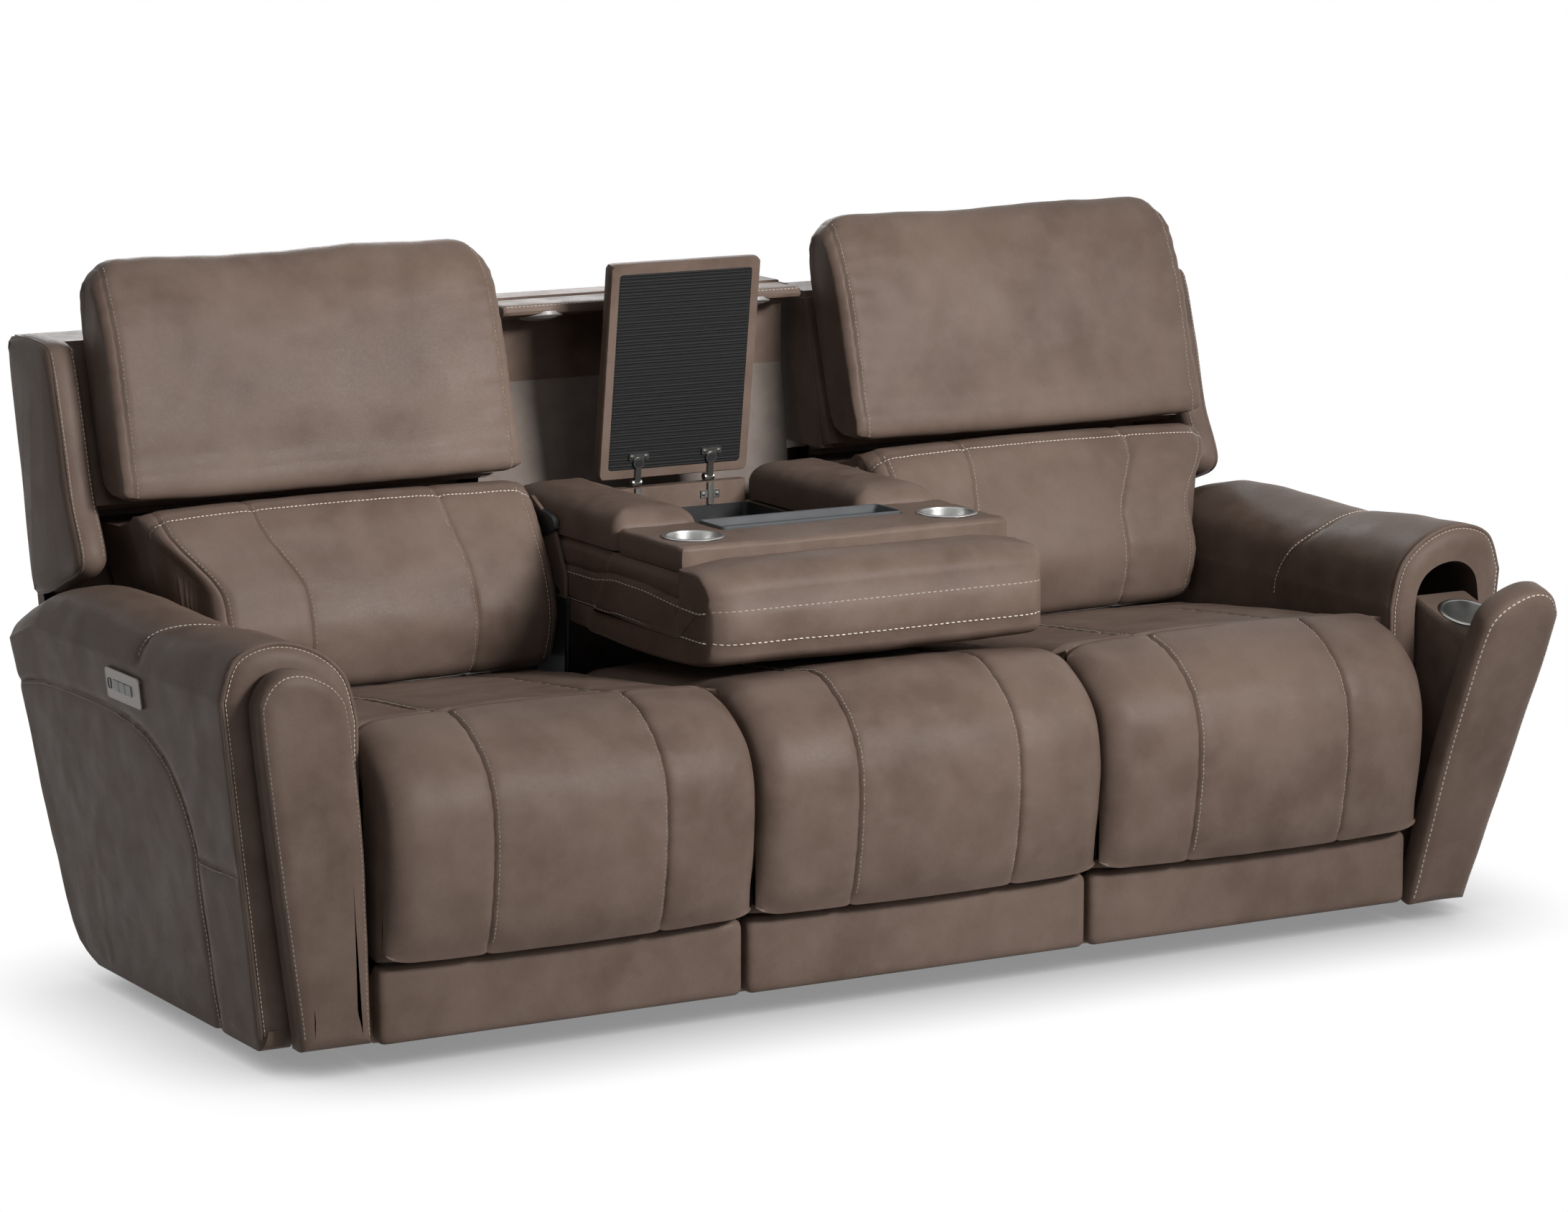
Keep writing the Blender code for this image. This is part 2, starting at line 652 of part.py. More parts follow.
def build_back(name, side):
    centre = side * SEAT_X
    across = lambda low, high: sorted((side * low, side * high))
    top_front = head_point(0.200, -HEAD_RADIUS - 0.008)
    low_front = head_point(-0.045, -HEAD_RADIUS - 0.008)
    body = [
        (shell_inside(SHELL_BOTTOM), SHELL_BOTTOM),
        (shell_rear(SHELL_BOTTOM), SHELL_BOTTOM),
        (shell_rear(0.925), 0.925),
        (SHELL_REAR_TOP - 0.014, SHELL_TOP),
        (top_front[0] + 0.012, SHELL_TOP),
        (top_front[0], SHELL_TOP - 0.016),
        low_front,
        (low_front[0] + 0.030, low_front[1] - 0.012),
        (shell_inside(0.680), 0.680),
    ]
    wing = smooth(
        [
            (0.736, 0.632),
            (0.775, 0.725),
            (0.806, 0.830),
            (0.838, 0.926),
            (0.868, SHELL_TOP),
            (0.985, SHELL_TOP),
            (1.009, 0.922),
            (shell_rear(0.750), 0.750),
            (shell_rear(0.580), 0.580),
            (0.900, 0.562),
            (0.815, 0.590),
        ]
    )
    middle = along_x(body, *across(BACK_INNER_X + 0.003, BACK_OUTER_X - 0.012))
    low, high = across(BACK_OUTER_X - WING_THICK, BACK_OUTER_X)
    soft = [0.012] * len(wing)
    tucked = drawn_in(wing, soft)
    spans = ((low, tucked), (low + 0.012, wing), (high - 0.012, wing), (high, tucked))
    outer_wing = loft([[(x, y, z) for y, z in outline] for x, outline in spans])
    inner_wing = along_x(
        [
            (0.815, 0.700),
            (0.872, SHELL_TOP - 0.010),
            (0.980, SHELL_TOP - 0.010),
            (shell_rear(0.700) - 0.004, 0.700),
        ],
        *across(BACK_INNER_X, BACK_INNER_X + INNER_WING_THICK),
    )
    post = [
        (RECLINE_PIVOT[0] + 0.018 * math.cos(a), RECLINE_PIVOT[1] + 0.018 * math.sin(a))
        for a in [math.pi / 2 + math.pi * i / 6 for i in range(7)]
    ]
    post += [
        (shell_inside(SHELL_BOTTOM) + SHELL_WALL / 2, SHELL_BOTTOM + 0.004),
        (shell_inside(SHELL_BOTTOM) + SHELL_WALL / 2, SHELL_BOTTOM + 0.062),
        (0.700, 0.392),
    ]
    posts = both_sides(post, centre, POST_X - POST_HALF_WIDTH, 2 * POST_HALF_WIDTH)
    lug = capsule((low_front[0] + 0.030, HEAD_PIVOT[1] + 0.010), HEAD_PIVOT, 0.016, 5)
    lugs = both_sides(lug, centre + side * LUG_SHIFT, LUG_X - LUG_HALF_WIDTH, 2 * LUG_HALF_WIDTH)
    bores = [
        rod(RECLINE_PIVOT, BACK_ROD_RADIUS + PIN_GAP, centre - 0.3, centre + 0.3),
        rod(
            HEAD_PIVOT,
            HEAD_ROD_RADIUS + PIN_GAP,
            *across(BACK_INNER_X + 0.03, BACK_OUTER_X - WING_THICK - 0.03),
        ),
    ]
    add_node(
        f"{name}_back_shell",
        middle,
        "leather",
        f"{name}_back_axis",
        [outer_wing, inner_wing, *posts, *lugs],
        bores,
    )
    build_lumbar(name, side)
    build_headrest(name, side)


def build_lumbar(name, side):
    half = (LUMBAR_LOW_X - LUMBAR_INNER_X) / 2
    centre = side * (LUMBAR_LOW_X + LUMBAR_INNER_X) / 2
    front = smooth(
        [
            (0.612, LUMBAR_BOTTOM + 0.004, 0.4),
            (0.572, 0.448, 1.0),
            (0.552, 0.520, 1.0),
            (0.572, 0.588, 1.0),
            (0.622, 0.650, 1.0),
            (0.682, 0.698, 1.0),
            (0.715, LUMBAR_TOP, 0.6),
        ],
        closed=False,
    )
    back = [
        (0.735, 0.7085, 0.0),
        (0.790, 0.690, 0.0),
        (shell_inside(0.670) - GAP, 0.670, 0.0),
        (shell_inside(0.430) - GAP, 0.430, 0.0),
        (shell_inside(0.430) - 0.02, LUMBAR_BOTTOM, 0.0),
    ]
    shape = channelled_pad(front + back, centre, half, 0.040, 0.030)
    low, high = LUMBAR_FLARE
    for z in LUMBAR_FLARE:
        parts = [*shape.verts, *shape.edges, *shape.faces]
        bmesh.ops.bisect_plane(shape, geom=parts, plane_co=(0.0, 0.0, z), plane_no=(0.0, 0.0, 1.0))
    for vert in shape.verts:
        rise = min(max((vert.co.z - low) / (high - low), 0.0), 1.0)
        share = (side * vert.co.x - LUMBAR_INNER_X) / (LUMBAR_LOW_X - LUMBAR_INNER_X)
        vert.co.x += side * share * rise * (LUMBAR_HIGH_X - LUMBAR_LOW_X)
    add_node(f"{name}_lumbar_cushion", shape, "leather", f"{name}_back_axis")


def build_headrest(name, side):
    half = (HEAD_OUTER_X - HEAD_INNER_X) / 2
    centre = side * (HEAD_OUTER_X + HEAD_INNER_X) / 2
    outline = smooth(
        [
            (0.070, 0.060, 1.0),
            (0.160, 0.063, 1.0),
            (0.246, 0.056, 1.0),
            (0.304, 0.034, 1.0),
            (HEAD_LENGTH, 0.000, 1.0),
            (0.306, -0.034, 1.0),
            (0.230, -0.048, 0.6),
            (0.090, -HEAD_RADIUS, 0.5),
            (0.0, -HEAD_RADIUS, 0.5),
        ],
        closed=False,
    )
    turns = [math.pi * i / 8 for i in range(7, -1, -1)]
    outline += [(-HEAD_RADIUS * math.sin(a), HEAD_RADIUS * math.cos(a), 0.5) for a in turns]
    profile = [(*head_point(up, forward), soft) for up, forward, soft in outline]
    shape = channelled_pad(profile, centre, half, 0.055, 0.020, stitches=(), crown=0.004)
    middle = side * (SEAT_X + LUG_SHIFT)
    slot = [
        (HEAD_PIVOT[0] - 0.022, HEAD_PIVOT[1] + 0.020),
        (HEAD_PIVOT[0] - 0.022, HEAD_PIVOT[1] - 0.080),
        (HEAD_PIVOT[0] + 0.090, HEAD_PIVOT[1] - 0.080),
        (HEAD_PIVOT[0] + 0.090, HEAD_PIVOT[1] + 0.034),
    ]
    slots = both_sides(slot, middle, LUG_X - LUG_HALF_WIDTH - 0.002, 2 * LUG_HALF_WIDTH + 0.004)
    reach = LUG_X + 0.040
    bore = rod(HEAD_PIVOT, HEAD_ROD_RADIUS + PIN_GAP, middle - reach - GAP, middle + reach + GAP)
    add_node(f"{name}_headrest_cushion", shape, "leather", f"{name}_headrest_axis", cuts=[*slots, bore])
    bar = rod(HEAD_PIVOT, HEAD_ROD_RADIUS, middle - reach, middle + reach)
    add_node(f"{name}_headrest_bar", bar, "steel", f"{name}_headrest_axis")


def arm_outline():
    """The (x, z) section of an arm: flat inner and outer faces under a rolled top."""
    roll = smooth(
        [
            (ARM_INNER_X, ARM_SHOULDER - 0.045),
            (ARM_INNER_X + 0.09 * ARM_WIDTH, ARM_TOP - 0.058),
            (ARM_INNER_X + 0.32 * ARM_WIDTH, ARM_TOP - 0.016),
            (ARM_INNER_X + 0.62 * ARM_WIDTH, ARM_TOP),
            (ARM_INNER_X + 0.89 * ARM_WIDTH, ARM_TOP - 0.020),
            (ARM_OUTER_HIGH, ARM_SHOULDER),
        ],
        closed=False,
    )
    outer = [
        (ARM_OUTER_LOW + (ARM_OUTER_HIGH - ARM_OUTER_LOW) * (z - FLOOR_GAP) / (ARM_SHOULDER - FLOOR_GAP), z)
        for z in (0.270, 0.065, FLOOR_GAP)
    ]
    inner = [(ARM_INNER_X + 0.006, FLOOR_GAP), (ARM_INNER_X + 0.005, 0.065), (ARM_INNER_X, 0.270)]
    return [*inner, *roll, *outer]


def arm_rear(z):
    """Depth of the arm's slanted rear edge at a height."""
    knots = ((FLOOR_GAP, 0.668), (0.065, 0.742), (0.270, 0.800), (ARM_SHOULDER, ARM_REAR_TOP))
    if z >= ARM_SHOULDER:
        return ARM_REAR_TOP
    for (low, near), (high, far) in zip(knots, knots[1:]):
        if z <= high:
            return near + (far - near) * (z - low) / (high - low)


def build_arm(name, side):
    outline = arm_outline()
    stations = (
        (ARM_FRONT, 0.022, 0.0),
        (ARM_FRONT + 0.007, 0.009, 0.0),
        (ARM_FRONT + 0.024, 0.0, 0.0),
        (0.200, 0.0, 0.3),
        (0.330, 0.0, 1.0),
        (0.450, 0.0, 0.9),
        (0.580, 0.0, 0.6),
        (0.680, 0.0, 0.8),
        (0.740, 0.0, 1.5),
        (0.800, 0.0, 3.0),
        (ARM_REAR_TOP - 0.012, 0.0, 4.4),
        (ARM_REAR_TOP, 0.016, 5.0),
    )
    slant_from = 0.580
    rings = []
    for depth, inset, dip in stations:
        ring = []
        for x, z in drawn_in(outline, [inset] * len(outline)):
            lowered = max(z - ARM_SHOULDER, 0.0) / (ARM_TOP - ARM_SHOULDER) * min(dip, 1.5)
            lowered += max(z - 0.40, 0.0) / (ARM_TOP - 0.40) * max(dip - 1.5, 0.0)
            z -= lowered * ARM_DIP
            y = depth
            if depth > slant_from:
                share = (depth - slant_from) / (ARM_REAR_TOP - slant_from)
                y = slant_from + share * (arm_rear(z) - slant_from)
            ring.append((side * x, y, max(z, FLOOR_GAP)))
        rings.append(ring)
    pocket = [
        (POCKET_INNER_X, FLOOR_GAP - 0.03),
        (POCKET_INNER_X, ARM_SHOULDER - 0.026),
        (ARM_INNER_X + 0.25 * ARM_WIDTH, ARM_SHOULDER - 0.004),
        (ARM_INNER_X + 0.415 * ARM_WIDTH, ARM_TOP - 0.062),
        (ARM_INNER_X + 0.627 * ARM_WIDTH, ARM_TOP - 0.056),
        (ARM_OUTER_HIGH - 0.047, ARM_SHOULDER - 0.005),
        (ARM_OUTER_HIGH - 0.039, ARM_SHOULDER - 0.045),
        (ARM_OUTER_LOW - 0.021, FLOOR_GAP - 0.03),
    ]
    mirrored = [(side * x, z) for x, z in pocket]
    low = POD_BOX_INNER_X - (POD_BOX_INNER_X - POCKET_INNER_X) - POD_PIN_INTO - GAP
    high = pod_outer_wall(POD_PIVOT[1]) + POD_PIN_INTO + GAP
    cuts = [
        along_y(mirrored, ARM_FRONT - 0.05, POCKET_DEPTH),
        rod(POD_PIVOT, POD_PIN_RADIUS + PIN_GAP, *sorted((side * low, side * high)), count=12),
    ]
    add_node(f"{name}_arm", loft(rings), "leather", cuts=cuts, solver="MANIFOLD")


def pod_outer_wall(z):
    """X of the pocket's outer wall at a height."""
    share = (z - FLOOR_GAP + 0.03) / (ARM_SHOULDER - 0.045 - FLOOR_GAP + 0.03)
    return ARM_OUTER_LOW - 0.021 + share * (ARM_OUTER_HIGH - 0.039 - ARM_OUTER_LOW + 0.021)


def cup_outline(radius, wall, rim, top, depth):
    """The turned (radius, z) profile of a cup with a flat rim."""
    inner = radius - wall
    return [
        (0.0, top - depth),
        (radius - 0.006, top - depth),
        (radius, top - depth + 0.006),
        (radius, top - 0.0016),
        (radius + rim, top - 0.0016),
        (radius + rim, top),
        (inner, top),
        (inner, top - depth + 0.008),
        (inner - 0.006, top - depth + wall),
        (0.0, top - depth + wall),
    ]


def turned(profile, centre, count=24):
    """A solid of revolution about a vertical axis, from a profile that starts and ends on the axis."""
    shape = bmesh.new()
    rows = []
    for radius, z in profile:
        if radius == 0.0:
            rows.append([shape.verts.new((*centre, z))])
            continue
        rows.append([shape.verts.new((x, y, z)) for x, y in circle(centre, radius, count)])
    for row, following in zip(rows, rows[1:]):
        for i in range(count):
            j = (i + 1) % count
            corners = [row[i % len(row)], row[j % len(row)]]
            corners += [following[j % len(following)], following[i % len(following)]]
            shape.faces.new(list(dict.fromkeys(corners)))
    return shape


def build_pod(name, side):
    pivot = f"{name}_pod_axis"
    panel = [
        (ARM_INNER_X + 0.012, FLOOR_GAP + 0.007),
        (ARM_INNER_X + 0.018, 0.55 * ARM_SHOULDER),
        (ARM_INNER_X + 0.035, ARM_SHOULDER - 0.045),
        (ARM_INNER_X + 0.25 * ARM_WIDTH, ARM_TOP - 0.068),
        (ARM_INNER_X + 0.476 * ARM_WIDTH, ARM_TOP - 0.038),
        (ARM_INNER_X + 0.712 * ARM_WIDTH, ARM_TOP - 0.036),
        (ARM_INNER_X + 0.863 * ARM_WIDTH, ARM_TOP - 0.066),
        (ARM_OUTER_HIGH - 0.025, ARM_SHOULDER - 0.040),
        (ARM_OUTER_LOW + 0.003, 0.495 * ARM_SHOULDER),
        (ARM_OUTER_LOW - 0.027, FLOOR_GAP + 0.007),
    ]
    spans = ((POD_FRONT, 0.012), (POD_FRONT + 0.004, 0.004), (POD_FRONT + 0.012, 0.0), (POD_BACK, 0.0))
    rings = []
    for depth, inset in spans:
        ring = drawn_in(panel, [inset] * len(panel))
        rings.append([(side * x, depth, z) for x, z in ring])
    box_outline = [
        (POD_BOX_INNER_X, FLOOR_GAP + 0.010),
        (POD_BOX_INNER_X, POD_BOX_TOP),
        (POD_BOX_OUTER_HIGH, POD_BOX_TOP),
        (POD_BOX_OUTER_LOW, FLOOR_GAP + 0.010),
    ]
    body = along_y([(side * x, z) for x, z in box_outline], POD_BACK - 0.004, POD_BOX_REAR)
    low = POCKET_INNER_X - POD_PIN_INTO
    high = pod_outer_wall(POD_PIVOT[1]) + POD_PIN_INTO
    pin = rod(POD_PIVOT, POD_PIN_RADIUS, *sorted((side * low, side * high)), count=12)
    well = turned(
        [
            (0.0, POD_BOX_TOP - CUP_DEEP - GAP),
            (CUP_RADIUS + GAP, POD_BOX_TOP - CUP_DEEP - GAP),
            (CUP_RADIUS + GAP, POD_BOX_TOP + 0.02),
            (0.0, POD_BOX_TOP + 0.02),
        ],
        (side * POD_CUP_X, POD_CUP_DEPTH),
    )
    add_node(f"{name}_pod", loft(rings), "leather", pivot, [body, pin], [well])
    top = POD_BOX_TOP + GAP + 0.0016
    cup = turned(cup_outline(CUP_RADIUS, CUP_WALL, CUP_RIM, top, CUP_DEEP), (side * POD_CUP_X, POD_CUP_DEPTH))
    add_node(f"{name}_pod_cup", cup, "cup_steel", pivot)


def build_controls(name, side):
    slope = math.atan2(ARM_OUTER_HIGH - ARM_OUTER_LOW, ARM_SHOULDER - FLOOR_GAP)
    face_x = ARM_OUTER_LOW + (CONTROL_Z - FLOOR_GAP) * math.tan(slope)
    place = Vector((side * face_x, CONTROL_DEPTH, CONTROL_Z))
    tilt = f"{name}_controls"
    add_pivot(tilt, place, "sofa")
    pivots[tilt][0].rotation_euler[1] = side * slope
    middle_x, middle_y, middle_z = place

    def slab(low_w, high_w, half_length, half_height, radius, shift=0.0):
        """A plate standing on the arm's outer face, written about the control plate's middle."""
        rings = []
        for w, inset in ((low_w, 0.0), (high_w - 0.001, 0.0), (high_w, 0.001)):
            outline = rounded(
                (middle_y + shift - half_length + inset, middle_z - half_height + inset),
                (middle_y + shift + half_length - inset, middle_z + half_height - inset),
                radius,
                2,
            )
            rings.append([(middle_x + side * w, y, z) for y, z in outline])
        return loft(rings)

    row = (KEY_COUNT - 1) * KEY_PITCH + KEY_LENGTH
    plate = slab(GAP, GAP + CONTROL_THICK, CONTROL_LENGTH / 2, CONTROL_HEIGHT / 2, 0.006)
    window = slab(-0.01, 0.02, row / 2 + KEY_GAP, KEY_HEIGHT / 2 + KEY_GAP, 0.0015)
    add_node(f"{name}_control_plate", plate, "gunmetal", tilt, cuts=[window])
    for number in range(KEY_COUNT):
        shift = (number - (KEY_COUNT - 1) / 2) * KEY_PITCH
        key = slab(KEY_FLOOR, KEY_TOP, KEY_LENGTH / 2, KEY_HEIGHT / 2, 0.0015, shift)
        add_node(f"{name}_key_{number + 1}", key, "key_plastic", tilt)


def build_console():
    half = CONSOLE_HALF_WIDTH
    front = smooth(
        [
            (0.690, 0.522, 0.2),
            (0.560, 0.497, 1.0),
            (0.380, 0.490, 1.0),
            (0.220, 0.498, 1.0),
            (0.135, 0.520, 1.0),
            (CUSHION_FRONT, 0.562, 1.0),
            (0.132, 0.612, 1.0),
            (0.180, 0.638, 1.0),
        ],
        closed=False,
    )
    back = [
        (TUB_FRONT - GAP, 0.640, 0.3),
        (TUB_FRONT - GAP, TUB_BOTTOM - GAP, 0.0),
        (0.400, TUB_BOTTOM - GAP, 0.0),
        (0.520, TUB_BOTTOM - GAP, 0.0),
        (0.690, TUB_BOTTOM - GAP, 0.0),
    ]
    cushion = channelled_pad(front + back, 0.0, half, 0.040, 0.022, stitches=(), crown=0.006)
    for vert in cushion.verts:
        share = min(max((0.520 - vert.co.y) / 0.120, 0.0), 1.0)
        vert.co.x *= 1 + share * (CUSHION_HALF_WIDTH / half - 1)
    add_node("console_cushion", cushion, "leather", "console_axis")

    tub = along_z(rounded((-half, TUB_FRONT), (half, TUB_REAR), 0.012), TUB_BOTTOM, TUB_TOP)
    upstand = box(
        (-LID_HALF_WIDTH + 0.002, BIN_REAR, TUB_TOP - 0.02),
        (LID_HALF_WIDTH - 0.002, TUB_REAR - 0.002, LID_BOTTOM - LID_LEAF - 2 * GAP),
    )
    wells = [
        along_z(
            circle((side * CONSOLE_CUP_X, CONSOLE_CUP_DEPTH), CUP_RADIUS + GAP, 24),
            SLAB_TOP - CUP_DEEP - GAP,
            TUB_TOP + 0.1,
        )
        for side in (-1, 1)
    ]
    inside = along_z(
        rounded((-BIN_HALF_WIDTH, BIN_FRONT), (BIN_HALF_WIDTH, BIN_REAR), 0.010), BIN_FLOOR, TUB_TOP + 0.1
    )
    pin_end = BRACKET_X + BRACKET_THICK + 0.001
    pins = [
        rod(CONSOLE_PIVOT, CONSOLE_PIN_RADIUS, *sorted((side * (half - 0.012), side * pin_end)), count=16)
        for side in (-1, 1)
    ]
    add_node("console_tub", tub, "black_plastic", "console_axis", [upstand, *pins], [*wells, inside])

    slab = padded_block((-half, SLAB_FRONT, TUB_TOP + GAP), (half, SLAB_REAR, SLAB_TOP), 0.014, 0.008)
    cuts = [
        along_z(
            circle((side * CONSOLE_CUP_X, CONSOLE_CUP_DEPTH), CUP_RADIUS + GAP, 24),
            TUB_TOP - 0.02,
            SLAB_TOP + 0.02,
        )
        for side in (-1, 1)
    ]
    cuts.append(
        box(
            (-TRAY_HALF_WIDTH - GAP, TRAY_FRONT - GAP, SLAB_TOP - TRAY_DEEP - GAP),
            (TRAY_HALF_WIDTH + GAP, TRAY_REAR + GAP, SLAB_TOP + 0.02),
        )
    )
    add_node("console_slab", slab, "leather", "console_axis", cuts=cuts)
    dish = box((-TRAY_HALF_WIDTH, TRAY_FRONT, SLAB_TOP - TRAY_DEEP), (TRAY_HALF_WIDTH, TRAY_REAR, TRAY_RIM))
    hollow = along_z(
        rounded(
            (-TRAY_HALF_WIDTH + 0.004, TRAY_FRONT + 0.004),
            (TRAY_HALF_WIDTH - 0.004, TRAY_REAR - 0.004),
            0.006,
        ),
        SLAB_TOP - TRAY_DEEP + 0.003,
        TRAY_RIM + 0.02,
    )
    add_node("tray", dish, "tray_plastic", "console_axis", cuts=[hollow])
    top = SLAB_TOP + GAP + 0.0016
    for name, side in (("left", -1), ("right", 1)):
        inner, outer = sorted((side * (LID_HALF_WIDTH + 0.006), side * half))
        pad = padded_block(
            (inner, SLAB_REAR + 0.002, TUB_TOP + GAP),
            (outer, TUB_REAR, CONSOLE_PAD_TOP - 0.012),
            0.020,
            0.022,
            0.012,
        )
        add_node(f"{name}_console_pad", pad, "leather", "console_axis")
        profile = cup_outline(CUP_RADIUS, CUP_WALL, CUP_RIM, top, CUP_DEEP)
        cup = turned(profile, (side * CONSOLE_CUP_X, CONSOLE_CUP_DEPTH))
        add_node(f"{name}_cup", cup, "cup_steel", "console_axis")
        bracket = [
            (0.575, BASE_TOP + GAP),
            (0.690, BASE_TOP + GAP),
            (0.672, 0.420),
            (0.655, 0.560),
            (0.712, 0.668),
            (0.704, 0.684),
            (0.690, 0.686),
            (0.618, 0.650),
            (0.580, 0.575),
            (0.572, 0.530),
            (0.580, 0.420),
        ]
        low, high = sorted((side * BRACKET_X, side * (BRACKET_X + BRACKET_THICK)))
        bore = rod(CONSOLE_PIVOT, CONSOLE_PIN_RADIUS + PIN_GAP, low - 0.01, high + 0.01, count=16)
        add_node(f"{name}_console_bracket", along_x(bracket, low, high), "black_plastic", cuts=[bore])
    build_lid()


def build_lid():
    top = LID_BOTTOM + LID_THICK
    low = (-LID_HALF_WIDTH, LID_FRONT, LID_BOTTOM)
    panel = padded_block(low, (LID_HALF_WIDTH, LID_REAR, top), 0.012, 0.008)
    sunk = LID_BOTTOM + LID_INSET_THICK + GAP
    reach = LID_HALF_WIDTH - LID_FRAME
    recess = along_z(
        rounded(
            (-reach - GAP, LID_FRONT + LID_FRAME - GAP),
            (reach + GAP, LID_REAR - LID_FRAME + GAP),
            0.006,
        ),
        LID_BOTTOM - 0.01,
        sunk,
    )
    add_node("lid_panel", panel, "leather", "lid_axis", cuts=[recess])
    inset = along_z(
        rounded((-reach, LID_FRONT + LID_FRAME), (reach, LID_REAR - LID_FRAME), 0.006),
        LID_BOTTOM,
        LID_BOTTOM + LID_INSET_THICK,
    )
    add_node("lid_inset", inset, "inset_fabric", "lid_axis")
    for name, side in (("left", -1), ("right", 1)):
        middle = side * LID_HINGE_X
        low, high = middle - LID_HINGE_WIDTH / 2, middle + LID_HINGE_WIDTH / 2
        leaf = along_z(
            rounded((low, LID_HINGE[0] - 0.052), (high, LID_HINGE[0]), 0.006),
            LID_BOTTOM - GAP - LID_LEAF,
            LID_BOTTOM - GAP,
        )
        barrel = rod(LID_HINGE, LID_BARREL, low, high, 14)
        add_node(f"{name}_lid_hinge", leaf, "cup_steel", "lid_axis", [barrel])


def build_hood():
    foot_front = BASE_REAR + REAR_PANEL_THICK + 2 * GAP
    wall = [
        (foot_front, WALL_FOOT_BOTTOM),
        (shell_rear(SHELL_BOTTOM) - 0.020, WALL_FOOT_BOTTOM),
        (shell_rear(SHELL_BOTTOM), SHELL_BOTTOM),
        (shell_rear(0.925), 0.925),
        (SHELL_REAR_TOP - 0.010, WALL_TOP - 0.006),
        (SHELL_REAR_TOP - 0.024, WALL_TOP),
        (WALL_FRONT + 0.008, WALL_TOP),
        (WALL_FRONT, WALL_TOP - 0.010),
        (WALL_FRONT, 0.830),
        (WALL_LOW_FRONT, 0.450),
        (WALL_LOW_FRONT - 0.020, WALL_FOOT_TOP),
        (foot_front, WALL_FOOT_TOP),
    ]
    ears = []
    bores = []
    pin_end = WALL_HALF_WIDTH - 0.003
    for side in (-1, 1):
        ear = capsule((WALL_FRONT + 0.012, HOOD_PIVOT[1]), HOOD_PIVOT, HOOD_HALF_THICK - 0.003)
        ears.append(along_x(ear, *sorted((side * (HOOD_HALF_WIDTH + 0.003), side * WALL_HALF_WIDTH))))
        bores.append(
            rod(
                HOOD_PIVOT,
                HOOD_PIN_RADIUS + PIN_GAP,
                *sorted((side * HOOD_HALF_WIDTH, side * (pin_end + GAP))),
                count=12,
            )
        )
    panel = along_x(wall, -WALL_HALF_WIDTH, WALL_HALF_WIDTH)
    add_node("centre_back_panel", panel, "felt", joins=ears, cuts=bores)

    thick = HOOD_HALF_THICK
    outline = [
        (HOOD_PIVOT[0] + thick * math.sin(a), HOOD_PIVOT[1] + thick * math.cos(a))
        for a in [math.pi * i / 8 for i in range(9)]
    ]
    low, high = HOOD_PIVOT[1] - thick, HOOD_PIVOT[1] + thick
    outline += [(HOOD_FRONT + 0.010, low), (HOOD_FRONT + 0.003, low + 0.004), (HOOD_FRONT, low + 0.011)]
    outline += [(HOOD_FRONT, high - 0.011), (HOOD_FRONT + 0.003, high - 0.004), (HOOD_FRONT + 0.010, high)]
    hood = along_x(outline, -HOOD_HALF_WIDTH, HOOD_HALF_WIDTH)
    pin = rod(HOOD_PIVOT, HOOD_PIN_RADIUS, -pin_end, pin_end, 12)
    wells = [
        along_z(
            circle((side * LIGHT_X, LIGHT_DEPTH), LIGHT_RADIUS + GAP, 24),
            low - 0.01,
            low + LIGHT_SUNK + GAP,
        )
        for side in (-1, 1)
    ]
    add_node("hood", hood, "leather", "hood_axis", [pin], wells)
    for name, side in (("left", -1), ("right", 1)):
        profile = [
            (0.0, low + LIGHT_SUNK),
            (LIGHT_RADIUS, low + LIGHT_SUNK),
            (LIGHT_RADIUS, low),
            (LIGHT_RADIUS - 0.004, low - LIGHT_PROUD),
            (LIGHT_RADIUS - 0.012, low - LIGHT_PROUD),
            (LIGHT_RADIUS - 0.016, low + 0.001),
            (0.0, low + 0.001),
        ]
        add_node(f"{name}_light", turned(profile, (side * LIGHT_X, LIGHT_DEPTH)), "lamp", "hood_axis")


def build_pivots():
    """Every joint's axis, with the console's lid and the right pod standing open as in use."""
    empty = bpy.data.objects.new("sofa", None)
    bpy.context.scene.collection.objects.link(empty)
    empty.location = (0.0, -ORIGIN_DEPTH, 0.0)
    pivots["sofa"] = (empty, Vector((0.0, 0.0, 0.0)))
    elbow = link_elbow(LINK_ROOT, FOOT_PIN)
    for name, side in (("left", -1), ("right", 1)):
        x = side * SEAT_X
        add_pivot(f"{name}_back_axis", (x, *RECLINE_PIVOT), "sofa")
        add_pivot(f"{name}_headrest_axis", (x, *HEAD_PIVOT), f"{name}_back_axis")
        add_pivot(f"{name}_inner_link_axis", (x, *LINK_ROOT), "sofa")
        add_pivot(f"{name}_outer_link_axis", (x, *elbow), f"{name}_inner_link_axis")
        add_pivot(f"{name}_footrest_axis", (x, *FOOT_PIN), f"{name}_outer_link_axis")
        opened = POD_OPEN if side > 0 else 0.0
        add_pivot(f"{name}_pod_axis", (side * POD_CUP_X, *POD_PIVOT), "sofa", opened)
    add_pivot("console_axis", (0.0, *CONSOLE_PIVOT), "sofa")
    add_pivot("lid_axis", (0.0, *LID_HINGE), "console_axis", -LID_OPEN)
    add_pivot("hood_axis", (0.0, *HOOD_PIVOT), "sofa")


